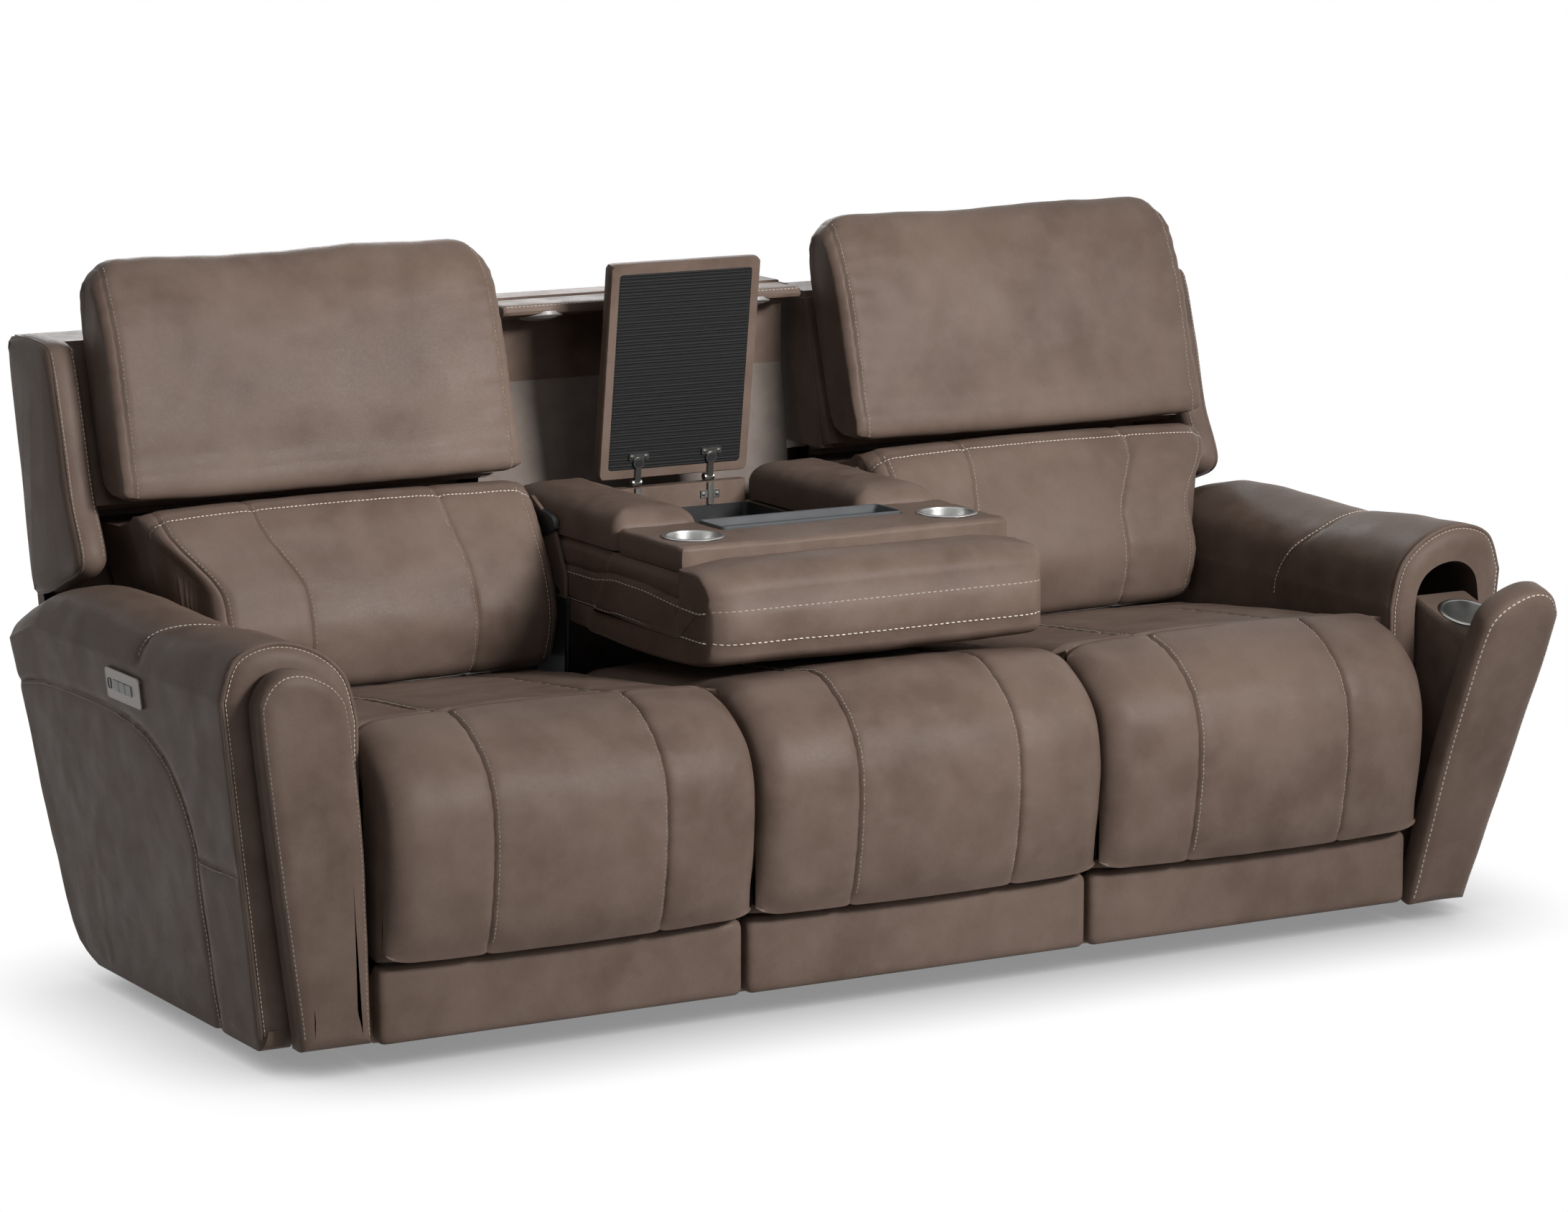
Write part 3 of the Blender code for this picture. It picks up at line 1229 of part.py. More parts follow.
def main():
    clear_scene()
    build_pivots()
    build_base()
    build_centre_seat()
    for name, side in (("left", -1), ("right", 1)):
        build_seat(name, side * SEAT_X)
        build_mechanism(name, side * SEAT_X)
        build_back(name, side)
        build_arm(name, side)
        build_pod(name, side)
        build_controls(name, side)
    build_console()
    build_hood()


main()
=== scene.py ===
"""Dresses the reclining sofa: sewn leather pads, arms and backs, the console, lights and controls."""

import json
import math

import bmesh
import bpy
from mathutils import Matrix, Vector, noise


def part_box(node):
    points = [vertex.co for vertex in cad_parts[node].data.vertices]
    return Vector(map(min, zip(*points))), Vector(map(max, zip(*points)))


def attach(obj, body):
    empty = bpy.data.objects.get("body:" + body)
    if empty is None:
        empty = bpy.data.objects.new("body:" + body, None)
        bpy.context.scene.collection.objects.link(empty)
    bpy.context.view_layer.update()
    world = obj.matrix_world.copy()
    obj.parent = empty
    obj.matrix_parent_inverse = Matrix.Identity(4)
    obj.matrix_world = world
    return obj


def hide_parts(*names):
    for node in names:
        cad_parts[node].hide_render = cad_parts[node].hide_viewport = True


bl_info = {
    "name": "Reclining Sofa Dresser",
    "version": (1, 0, 0),
    "blender": (4, 5, 0),
    "location": "View3D > Sidebar > Sofa",
    "description": "Builds the leather, stitching and fittings of a three-seat reclining sofa on its frame",
    "category": "Object",
}

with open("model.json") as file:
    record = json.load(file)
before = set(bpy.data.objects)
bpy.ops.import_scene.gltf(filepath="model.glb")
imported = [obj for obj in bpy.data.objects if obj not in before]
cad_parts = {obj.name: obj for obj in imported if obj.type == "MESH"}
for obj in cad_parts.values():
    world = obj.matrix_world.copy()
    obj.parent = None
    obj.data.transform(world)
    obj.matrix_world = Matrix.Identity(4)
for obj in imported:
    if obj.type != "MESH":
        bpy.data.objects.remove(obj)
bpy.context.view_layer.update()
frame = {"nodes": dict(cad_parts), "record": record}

SIDES = (("left", -1), ("right", 1))
FRONT_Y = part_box("centre_kick_panel")[0][1]
SEAT_X = 0.60
HALF_SEAT = 0.297
STITCH_X = 0.140
STITCH_OFFSET = 0.006
STITCH_TAPER = 0.16
STITCH_SUNK = 0.3
STITCH_PROUD = 0.27
HEAD_PIVOT = (0.755, 0.770)
HEAD_LEAN = math.radians(18)
HEAD_RADIUS = 0.050
HEAD_LENGTH = 0.326
SHELL_TOP = 0.951
SHELL_REAR_TOP = 1.012
SHELL_LEAN = 0.2055
SHELL_BOTTOM = 0.340
SHELL_WALL = 0.026
RECLINE_PIVOT = (0.650, 0.350)
POST_X = 0.245
LUG_X = 0.180
IMAGE_WIDTH = 2184
FOCAL_PIXELS = 7524.18
CAMERA_PLACE = (-4.0911, -6.7390, 2.0098)
CAMERA_YAW = math.radians(29.772)
CAMERA_PITCH = math.radians(10.2)
SHADOW_REACH = 0.27
LEATHER_ROUGHNESS = 0.38
LEATHER_SPECULAR = 0.10


class Value:
    """A shader value. Arithmetic on it adds Math nodes to its tree."""

    def __init__(self, tree, socket):
        self.tree = tree
        self.socket = socket

    def node(self, kind, inputs, output=0, **settings):
        """The output of a new node, with values or constants put on its inputs."""
        made = self.tree.nodes.new(kind)
        for name, setting in settings.items():
            setattr(made, name, setting)
        for key, given in inputs.items():
            if isinstance(given, Value):
                self.tree.links.new(given.socket, made.inputs[key])
            else:
                made.inputs[key].default_value = given
        return Value(self.tree, made.outputs[output])

    def math(self, operation, *others):
        """A Math node on this value and the others."""
        return self.node("ShaderNodeMath", dict(enumerate((self, *others))), operation=operation)

    def __add__(self, other):
        return self.math("ADD", other)

    __radd__ = __add__

    def __mul__(self, other):
        return self.math("MULTIPLY", other)

    __rmul__ = __mul__

    def between(self, low, high, start=0.0, end=1.0):
        """Maps a span of values to another, held at its ends."""
        inputs = {"Value": self, "From Min": low, "From Max": high, "To Min": start, "To Max": end}
        return self.node("ShaderNodeMapRange", inputs)

    def mix(self, first, second):
        """A colour between two, by this value."""
        inputs = {"Factor": self, 6: first, 7: second}
        return self.node("ShaderNodeMix", inputs, 2, data_type="RGBA")

    def noise(self, scale, detail=3.0, rough=0.5):
        """Smooth noise over this point."""
        inputs = {"Vector": self, "Scale": scale, "Detail": detail, "Roughness": rough}
        return self.node("ShaderNodeTexNoise", inputs)

    def cells(self, scale):
        """The distance from this point to the nearest of scattered centres."""
        return self.node("ShaderNodeTexVoronoi", {"Vector": self, "Scale": scale}, feature="SMOOTH_F1")

    def bump(self, strength, distance):
        """A normal that shows this value as a height."""
        return self.node("ShaderNodeBump", {"Height": self, "Strength": strength, "Distance": distance})


def new_material(name):
    """A material, its shader and the point on the object as the start of shader maths."""
    material = bpy.data.materials.new(name)
    material.use_nodes = True
    tree = material.node_tree
    shader = tree.nodes["Principled BSDF"]
    point = Value(tree, tree.nodes.new("ShaderNodeTexCoord").outputs["Object"])
    return material, shader, point


def set_inputs(material, shader, **inputs):
    """Puts values, or constants, on a shader's inputs, whose names have spaces for underscores."""
    for name, given in inputs.items():
        socket = shader.inputs[name.replace("_", " ")]
        if isinstance(given, Value):
            material.node_tree.links.new(given.socket, socket)
        else:
            socket.default_value = given


def shaded(colour, share):
    """A share of a colour, for its darker parts."""
    return [channel * share for channel in colour]


def leather(name, colour, dark, warm, gloss=0.0):
    """Mottled leather with fine pebble grain and a little wear in its colour."""
    material, shader, point = new_material(name)
    clouds = point.noise(5.5, 4.0, 0.55).between(0.36, 0.66)
    patches = point.noise(17.0, 5.0, 0.6).between(0.38, 0.70)
    specks = point.noise(230.0, 2.0).between(0.30, 0.75)
    tone = clouds.mix((*dark, 1.0), (*colour, 1.0))
    tone = (patches * 0.55).mix(tone, (*warm, 1.0))
    tone = (specks * 0.16).mix(tone, (*dark, 1.0))
    pebble = point.cells(620.0).between(0.0, 0.75, 1.0, 0.0)
    creases = point.noise(60.0, 6.0, 0.65)
    height = pebble * 0.55 + creases * 0.9 + point.noise(320.0, 3.0) * 0.4
    rough = patches * 0.12 + specks * 0.08 + (LEATHER_ROUGHNESS - gloss)
    normal = height.bump(0.22, 0.0012)
    set_inputs(
        material, shader, Base_Color=tone, Roughness=rough, Normal=normal, Specular_IOR_Level=LEATHER_SPECULAR
    )
    return material


def woven(name, colour, dark, ribs, strength):
    """A ribbed woven cloth."""
    material, shader, point = new_material(name)
    wave = {"Vector": point, "Scale": ribs, "Distortion": 0.6, "Detail": 2.0}
    rib = point.node("ShaderNodeTexWave", wave, bands_direction="Z")
    cross = point.noise(ribs * 9.0, 3.0)
    tone = (rib * 0.7 + cross * 0.4).mix((*dark, 1.0), (*colour, 1.0))
    normal = (rib + cross * 0.5).bump(strength, 0.0015)
    set_inputs(material, shader, Base_Color=tone, Roughness=0.92, Normal=normal, Specular_IOR_Level=0.2)
    return material


def felt(name, colour, dark):
    """Short felt with faint patches."""
    material, shader, point = new_material(name)
    fuzz = point.noise(420.0, 6.0, 0.7)
    patches = point.noise(30.0, 3.0).between(0.3, 0.7)
    tone = (fuzz * 0.6 + patches * 0.3).mix((*dark, 1.0), (*colour, 1.0))
    normal = fuzz.bump(0.35, 0.001)
    set_inputs(material, shader, Base_Color=tone, Roughness=0.95, Normal=normal, Specular_IOR_Level=0.15)
    return material


def metal(name, colour, roughness, brushed=0.0):
    """Spun, brushed or coated metal with faint scratches."""
    material, shader, point = new_material(name)
    streaks = point.noise(900.0, 2.0)
    smudge = point.noise(40.0, 4.0)
    rough = streaks * (0.10 + brushed) + smudge * 0.10 + (roughness - 0.10 - brushed / 2)
    tone = smudge.between(0.3, 0.7).mix((*shaded(colour, 0.88), 1.0), (*colour, 1.0))
    normal = streaks.bump(0.04 + brushed * 0.3, 0.0003)
    set_inputs(material, shader, Base_Color=tone, Metallic=1.0, Roughness=rough, Normal=normal)
    return material


def plastic(name, colour, roughness, texture=0.15):
    """Moulded plastic with a fine spark-eroded texture."""
    material, shader, point = new_material(name)
    spark = point.noise(1300.0, 2.0)
    smudge = point.noise(25.0, 4.0).between(0.3, 0.7)
    tone = smudge.mix((*shaded(colour, 0.85), 1.0), (*colour, 1.0))
    rough = smudge * 0.10 + spark * 0.08 + (roughness - 0.09)
    set_inputs(material, shader, Base_Color=tone, Roughness=rough, Normal=spark.bump(texture, 0.0004))
    return material


def timber(name, colour, dark):
    """Hardwood with rings and long fibres."""
    material, shader, point = new_material(name)
    stretched = point.node("ShaderNodeMapping", {"Vector": point, "Scale": (1.2, 22.0, 22.0)})
    rings = stretched.noise(2.2, 6.0, 0.6)
    fibre = stretched.noise(30.0, 3.0)
    tone = (rings * 0.8 + fibre * 0.3).between(0.3, 0.8).mix((*dark, 1.0), (*colour, 1.0))
    rough = fibre * 0.2 + 0.5
    set_inputs(material, shader, Base_Color=tone, Roughness=rough, Normal=fibre.bump(0.15, 0.0006))
    return material


def thread_material(name, colour):
    """Twisted sewing thread."""
    material, shader, point = new_material(name)
    twist = point.noise(1600.0, 2.0)
    tone = twist.mix((*shaded(colour, 0.7), 1.0), (*colour, 1.0))
    set_inputs(material, shader, Base_Color=tone, Roughness=0.85, Normal=twist.bump(0.3, 0.0003))
    return material


palette = {}


def finish(name):
    """The palette's material of that name."""
    return palette[name]


def make_palette(looks):
    """Fills the palette with the sofa's finishes."""
    colour, dark, warm = looks.leather_colour, looks.leather_dark, looks.leather_warm
    palette["leather"] = leather("leather", colour, dark, warm)
    palette["lining"] = leather("lining", shaded(colour, 0.55), shaded(dark, 0.5), shaded(warm, 0.5), -0.1)
    palette["thread"] = thread_material("thread", looks.thread_colour)
    palette["inset"] = woven("ribbed_inset", (0.030, 0.030, 0.031), (0.006, 0.006, 0.006), 62.0, 0.9)
    palette["felt"] = felt("grey_felt", (0.235, 0.198, 0.176), (0.130, 0.106, 0.092))
    palette["steel"] = metal("coated_steel", (0.10, 0.10, 0.105), 0.48)
    palette["nickel"] = metal("nickel", (0.33, 0.32, 0.30), 0.32, 0.10)
    palette["cup"] = metal("spun_steel", (0.38, 0.38, 0.37), 0.32, 0.10)
    palette["gunmetal"] = metal("gunmetal", (0.16, 0.145, 0.135), 0.36, 0.15)
    palette["key"] = plastic("key_grey", (0.26, 0.25, 0.24), 0.42)
    palette["black"] = plastic("black_plastic", (0.010, 0.010, 0.011), 0.45)
    palette["tray"] = plastic("tray_grey", (0.036, 0.038, 0.041), 0.66)
    palette["lamp"] = plastic("lamp_grey", (0.26, 0.25, 0.24), 0.40, 0.05)
    palette["wood"] = timber("hardwood", (0.40, 0.28, 0.17), (0.22, 0.14, 0.08))


def place(x, depth, z):
    """A world point from a depth behind the front of the kick panels."""
    return Vector((x, depth + FRONT_Y, z))


def smooth_curve(points, step, closed=True):
    """Points about a step apart along a smooth curve through the given ones, with any further values."""
    count = len(points)
    values = len(points[0])
    dense = []
    for i in range(count if closed else count - 1):
        if closed:
            around = [points[(i + k) % count] for k in (-1, 0, 1, 2)]
        else:
            around = [points[min(max(i + k, 0), count - 1)] for k in (-1, 0, 1, 2)]
        span = math.dist(around[1][:2], around[2][:2])
        pieces = max(1, round(span / step))
        for k in range(pieces):
            t = k / pieces
            weights = (
                (-t + 2 * t**2 - t**3) / 2,
                (2 - 5 * t**2 + 3 * t**3) / 2,
                (t + 4 * t**2 - 3 * t**3) / 2,
                (-(t**2) + t**3) / 2,
            )
            dense.append(tuple(sum(w * p[n] for w, p in zip(weights, around)) for n in range(values)))
    if not closed:
        dense.append(tuple(points[-1]))
    return dense


def straight(points, step):
    """Points about a step apart along straight lines, without the last one."""
    dense = []
    for first, second in zip(points, points[1:]):
        pieces = max(1, round(math.dist(first[:2], second[:2]) / step))
        for k in range(pieces):
            t = k / pieces
            dense.append(tuple(a + (b - a) * t for a, b in zip(first, second)))
    return dense


def turn_of(outline):
    """1 for a closed outline that runs anticlockwise, or -1."""
    loop = [*outline, outline[0]]
    return math.copysign(1.0, sum(a[0] * b[1] - b[0] * a[1] for a, b in zip(loop, loop[1:])))


def drawn_in(outline, amounts):
    """A closed outline with each point moved inwards by its own amount."""
    count = len(outline)
    turn = turn_of(outline)
    result = []
    for i, amount in enumerate(amounts):
        before, after = Vector(outline[i - 1][:2]), Vector(outline[(i + 1) % count][:2])
        along = (after - before).normalized()
        result.append(tuple(Vector(outline[i][:2]) + Vector((-along.y, along.x)) * turn * amount))
    return result


def drawn_to_line(outline, line, amount):
    """A closed outline with each point moved by an amount towards the nearest place on a line inside it."""
    start, end = Vector(line[0]), Vector(line[1])
    run = end - start
    result = []
    for place_on_edge in outline:
        point = Vector(place_on_edge[:2])
        share = min(max((point - start).dot(run) / run.length_squared, 0.0), 1.0)
        result.append(tuple(point + (start + run * share - point).normalized() * amount))
    return result


def rounded(low, high, radius, steps=6):
    """A rectangle with round corners."""
    points = []
    corners = ((high[0], high[1], 0), (low[0], high[1], 1), (low[0], low[1], 2), (high[0], low[1], 3))
    for x, y, quarter in corners:
        centre_x = x - math.copysign(radius, x - (low[0] + high[0]) / 2)
        centre_y = y - math.copysign(radius, y - (low[1] + high[1]) / 2)
        for i in range(steps + 1):
            a = (quarter + i / steps) * math.pi / 2
            points.append((centre_x + radius * math.cos(a), centre_y + radius * math.sin(a)))
    return points


def circle(centre, radius, count=32):
    """Points round a circle."""
    turns = [2 * math.pi * i / count for i in range(count)]
    return [(centre[0] + radius * math.cos(a), centre[1] + radius * math.sin(a)) for a in turns]


def loft(rings):
    """A closed shape through rings of points, each with the same count."""
    shape = bmesh.new()
    rows = [[shape.verts.new(point) for point in ring] for ring in rings]
    count = len(rows[0])
    for row, following in zip(rows, rows[1:]):
        for i in range(count):
            j = (i + 1) % count
            shape.faces.new((row[i], row[j], following[j], following[i]))
    caps = [shape.faces.new(rows[0]), shape.faces.new(rows[-1])]
    bmesh.ops.triangulate(shape, faces=caps)
    return shape


def piece(name, shape, look, body, nodes=(), sharp=40):
    """A named piece with its material, the body that it rides on and the solids that it stands for."""
    mesh = bpy.data.meshes.new(name)
    bmesh.ops.recalc_face_normals(shape, faces=shape.faces)
    shape.to_mesh(mesh)
    shape.free()
    mesh.shade_smooth()
    mesh.set_sharp_from_angle(angle=math.radians(sharp))
    obj = bpy.data.objects.new(name, mesh)
    bpy.context.scene.collection.objects.link(obj)
    mesh.materials.append(finish(look))
    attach(obj, body)
    if nodes:
        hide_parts(*nodes)
    return obj


def across_x(outline, low, high):
    """A prism along X of a (depth, z) outline."""
    return loft([[place(x, y, z) for y, z in outline] for x in (low, high)])


def add_to(shape, other):
    """Adds another shape's faces to a shape."""
    made = {vert: shape.verts.new(vert.co) for vert in other.verts}
    for face in other.faces:
        shape.faces.new([made[vert] for vert in face.verts])
    other.free()


def cut(obj, tools):
    """Cuts shapes out of a piece for good."""
    for tool in tools:
        mesh = bpy.data.meshes.new("tool")
        bmesh.ops.recalc_face_normals(tool, faces=tool.faces)
        tool.to_mesh(mesh)
        tool.free()
        other = bpy.data.objects.new("tool", mesh)
        bpy.context.scene.collection.objects.link(other)
        modifier = obj.modifiers.new("cut", "BOOLEAN")
        modifier.operation = "DIFFERENCE"
        modifier.object = other
        bpy.context.view_layer.update()
        evaluated = obj.evaluated_get(bpy.context.evaluated_depsgraph_get())
        result = bpy.data.meshes.new_from_object(evaluated)
        obj.modifiers.remove(modifier)
        obj.data = result
        bpy.data.objects.remove(other, do_unlink=True)
    obj.data.shade_smooth()
    obj.data.set_sharp_from_angle(angle=math.radians(35))


def waves(point, scale, seed):
    """A smooth random value about 0 at a point."""
    return noise.noise(Vector(point) * scale + Vector((seed * 7.31, seed * 3.17, seed * 1.73)))


def tube(path, radius, sides=8, closed=False):
    """A round bar along a path."""
    rings = []
    count = len(path)
    for i, point in enumerate(path):
        before = path[i - 1] if i or closed else path[i]
        after = path[(i + 1) % count] if i < count - 1 or closed else path[i]
        along = (after - before).normalized()
        across = along.cross(Vector((0.31, 0.17, 0.93))).normalized()
        up = along.cross(across)
        turns = [2 * math.pi * k / sides for k in range(sides)]
        rings.append([point + (across * math.cos(a) + up * math.sin(a)) * radius for a in turns])
    if closed:
        rings.append(rings[0])
    return loft(rings)


def stitch_row(path, normals, sewing, bold=1.0):
    """A row of sewn stitches along a path that lies on a surface with those normals."""
    length = sewing.stitch_length * bold
    gap = sewing.stitch_gap * bold**3
    width = sewing.stitch_width * bold
    shape = bmesh.new()
    places = [0.0]
    for first, second in zip(path, path[1:]):
        places.append(places[-1] + (second - first).length)
    total = places[-1]

    def at(distance):
        """The point and the normal at a distance along the path."""
        for i in range(len(path) - 1):
            if distance <= places[i + 1] or i == len(path) - 2:
                share = (distance - places[i]) / max(places[i + 1] - places[i], 1e-9)
                return path[i].lerp(path[i + 1], share), normals[i].lerp(normals[i + 1], share).normalized()

    count = int(total / (length + gap))
    for k in range(count):
        start, up = at(k * (length + gap))
        end, up_end = at(k * (length + gap) + length)
        across = (end - start).cross(up).normalized() * width * 0.5
        near, far = start.lerp(end, STITCH_TAPER), start.lerp(end, 1 - STITCH_TAPER)
        corners = [start, near + across, far + across, end, far - across, near - across]
        low = [shape.verts.new(corner - up * width * STITCH_SUNK) for corner in corners]
        lift = (up + up_end) * width * STITCH_PROUD
        first, second = [shape.verts.new(point + lift) for point in (near, far)]
        shape.faces.new((low[0], low[1], first))
        shape.faces.new((low[1], low[2], second, first))
        shape.faces.new((low[2], low[3], second))
        shape.faces.new((low[3], low[4], second))
        shape.faces.new((low[4], low[5], first, second))
        shape.faces.new((low[5], low[0], first))
        shape.faces.new(low[::-1])
    return shape


SLOTS = {
    "leather": "leather",
    "lining": "dark_leather",
    "thread": "leather",
    "inset": "inset_fabric",
    "felt": "felt",
    "steel": "steel",
    "nickel": "cup_steel",
    "cup": "cup_steel",
    "gunmetal": "gunmetal",
    "key": "key_plastic",
    "black": "black_plastic",
    "tray": "tray_plastic",
    "lamp": "lamp",
    "wood": "wood",
}


# Shares of a pad's rounded end, and distances from a sewn channel, at which the pad has a ring of points
END_SHARES = (0.0, 0.03, 0.10, 0.20, 0.35, 0.55, 0.78, 1.0)
BESIDE_CHANNEL = (0.0, 0.0022, 0.0040, STITCH_OFFSET, 0.0090, 0.0135, 0.0200, 0.0280)
CLEAR_OF_CHANNEL = 0.034
RING_PITCH = 0.013
# How far the drawn-in leather reaches beside a channel, a cross seam and the gathers along a channel
CHANNEL_REACH = 0.0050
SEAM_REACH = 0.007
GATHER_REACH = 0.030
GATHER_PITCH = 0.0049
# Shares of a pad's wrinkle, with how fine it is, for its broad and its small folds
BROAD_FOLDS = (1.3, 9.0)
SMALL_FOLDS = (0.6, 27.0)
# Profile points at which the thread on each kind of pad starts, or by which it misses its curve's end
SEWN_SHORT = 2
SEAT_SEWN = (16, 10)
CENTRE_SEWN_FROM = 6
LUMBAR_SEWN_FROM = 3
HEAD_SEWN = range(-7, 34)


def pad_places(half, edge, stitches):
    """Places across a pad, close together at its ends and beside its sewn channels."""
    near_edge = [half - edge * share for share in END_SHARES]
    sewn = [stitch + sign * offset for stitch in stitches for offset in BESIDE_CHANNEL for sign in (-1, 1)]
    count = round((half - edge) / RING_PITCH)
    even = [(half - edge) * i / count for i in range(count)]
    even = [x for x in even if all(abs(x - stitch) > CLEAR_OF_CHANNEL for stitch in stitches)]
    halves = sorted(set(round(x, 5) for x in near_edge + sewn + even if 0 <= x <= half))
    return [-x for x in reversed(halves) if x > 0] + halves


def arc_lengths(profile):
    """The distance along a profile at each of its points."""
    lengths = [0.0]
    for first, second in zip(profile, profile[1:]):
        lengths.append(lengths[-1] + math.dist(first[:2], second[:2]))
    return lengths


def sewn_pad(name, profile, sew, centre, half, body, nodes, sewing, **form):
    """A padded piece across X with sewn channels, and thread along the profile points listed in sew."""
    edge = form.get("edge", 0.045)
    draw = form.get("draw", 0.030)
    crown = form.get("crown", 0.010)
    stitches = form.get("stitches", (STITCH_X,))
    seams = form.get("seams", ())
    seed = form.get("seed", 1)
    bend = form.get("bend", lambda point: point)
    groove = form.get("groove", sewing.groove_depth)
    wrinkle = form.get("wrinkle", 1.0) * sewing.wrinkle
    lengths = arc_lengths(profile)
    places = pad_places(half, edge, stitches)
    rings = []
    for x in places:
        past = max(abs(x) - (half - edge), 0.0) / edge
        across = draw * (1 - math.sqrt(max(1 - past**2, 0.0))) + crown * (x / half) ** 2
        off = min([abs(abs(x) - stitch) for stitch in stitches], default=1.0)
        across += groove * math.exp(-off / CHANNEL_REACH)
        amounts = []
        for (depth, z, soft), run in zip(profile, lengths):
            inset = across
            for seam, shift in seams:
                inset += groove * 0.8 * math.exp(-abs(run - lengths[seam]) / SEAM_REACH)
            tug = form.get("tug", 0.6) * wrinkle * math.exp(-off / GATHER_REACH)
            inset += tug * math.sin(run / GATHER_PITCH + 2.5 * waves((x, run, 0.0), 22.0, seed))
            spot = (centre + x, run, seed)
            inset += wrinkle * BROAD_FOLDS[0] * waves(spot, BROAD_FOLDS[1], seed)
            inset += wrinkle * SMALL_FOLDS[0] * waves(spot, SMALL_FOLDS[1], seed + 3)
            amounts.append(inset * soft)
        ring = drawn_in(profile, amounts)
        rings.append([bend(place(centre + x, depth, z)) for depth, z in ring])
    obj = piece(name, loft(rings), "leather", body, nodes)
    threads = bmesh.new()
    for stitch in stitches:
        for sign in (-1, 1):
            row = rings[nearest(places, sign * (stitch - STITCH_OFFSET))]
            path = [row[i] for i in sew]
            normals = [outward_at(row, i) for i in sew]
            add_to(threads, stitch_row(path, normals, sewing))
    for seam, shift in seams:
        index = seam + shift
        path = [ring[index] for ring in rings]
        normals = [outward_at(ring, index) for ring in rings]
        add_to(threads, stitch_row(path, normals, sewing, form.get("bold", 1.0)))
    if threads.faces:
        piece(f"{name}_thread", threads, "thread", body)
    else:
        threads.free()
    return obj


def nearest(places, x):
    """The index of the place nearest to x."""
    return min(range(len(places)), key=lambda i: abs(places[i] - x))


def outward_at(ring, index):
    """The direction out of a closed ring at one of its points, in the ring's own plane."""
    count = len(ring)
    along = ring[(index + 1) % count] - ring[index - 1]
    normal = along.cross(Vector((1.0, 0.0, 0.0))).normalized()
    return normal * turn_of([(point.y, point.z) for point in ring])


PAD_FRONT = (
    (0.080, 0.497, 1.0),
    (0.025, 0.480, 1.0),
    (-0.030, 0.440, 1.0),
    (-0.058, 0.390, 1.0),
    (-0.066, 0.330, 1.0),
    (-0.062, 0.265, 1.0),
    (-0.050, 0.195, 1.0),
    (-0.030, 0.157, 0.5),
)
PAD_BACK = (
    (-0.030, 0.157, 0.5),
    (0.010, 0.1535, 0.1),
    (0.045, 0.166, 0.0),
    (0.045, 0.400, 0.0),
    (0.065, 0.440, 0.0),
    (0.105, 0.452, 0.0),
    (0.105, 0.4925, 1.0),
    (0.080, 0.497, 1.0),
)
SEAT_TOP = ((0.605, 0.430, 0.6), (0.480, 0.452, 1.0), (0.330, 0.468, 1.0), (0.200, 0.480, 1.0))
SEAT_REST = (
    (0.200, 0.480, 1.0),
    (0.132, 0.4885, 1.0),
    (0.112, 0.478, 1.0),
    (0.112, 0.355, 0.3),
    (0.122, 0.345, 0.0),
    (0.605, 0.345, 0.0),
    (0.605, 0.430, 0.6),
)
CENTRE_REST = (
    (-0.030, 0.157, 0.5),
    (0.010, 0.154, 0.1),
    (0.030, 0.1525, 0.0),
    (0.030, 0.1305, 0.0),
    (0.530, 0.1305, 0.0),
    (0.530, 0.400, 0.2),
    (0.530, 0.438, 0.6),
    (0.480, 0.452, 1.0),
)
LUMBAR_FRONT = (
    (0.612, 0.428, 0.4),
    (0.572, 0.448, 1.0),
    (0.552, 0.520, 1.0),
    (0.572, 0.588, 1.0),
    (0.606, 0.650, 1.0),
    (0.632, 0.690, 1.0),
    (0.652, 0.709, 1.0),
    (0.676, 0.7165, 0.8),
    (0.699, 0.7155, 0.5),
)
HEAD_OUTLINE = (
    (0.0, 0.050, 0.5),
    (0.070, 0.060, 1.0),
    (0.160, 0.063, 1.0),
    (0.246, 0.056, 1.0),
    (0.304, 0.034, 1.0),
    (HEAD_LENGTH, 0.000, 1.0),
    (0.306, -0.034, 1.0),
    (0.230, -0.048, 0.6),
    (0.090, -0.050, 0.5),
    (0.0, -0.050, 0.5),
    (-0.035, -0.035, 0.5),
    (-0.053, 0.002, 0.5),
    (-0.059, 0.030, 0.5),
    (-0.051, 0.046, 0.5),
    (-0.026, 0.051, 0.5),
)
HEAD_INNER = 0.3035
HEAD_OUTER = 0.974
HEAD_CORNER = 0.056
HEAD_END_STITCH = 0.015
HEAD_SAG = 0.008
SAG_PLACE = 0.42
SAG_WIDTH = 0.22
SAG_FROM = 0.95
SAG_RISE = 0.07
PROFILE_STEP = 0.010


def round_corner(across, up, half, top, radius):
    """A place in a panel of that half width and top, with its upper corners drawn in to a radius."""
    past = (abs(across) - half) / radius + 1
    above = (up - top) / radius + 1
    if past <= 0 or above <= 0:
        return across, up
    drawn = past * math.sqrt(1 - above**2 / 2)
    lowered = above * math.sqrt(1 - past**2 / 2)
    return math.copysign(half + (drawn - 1) * radius, across), top + (lowered - 1) * radius


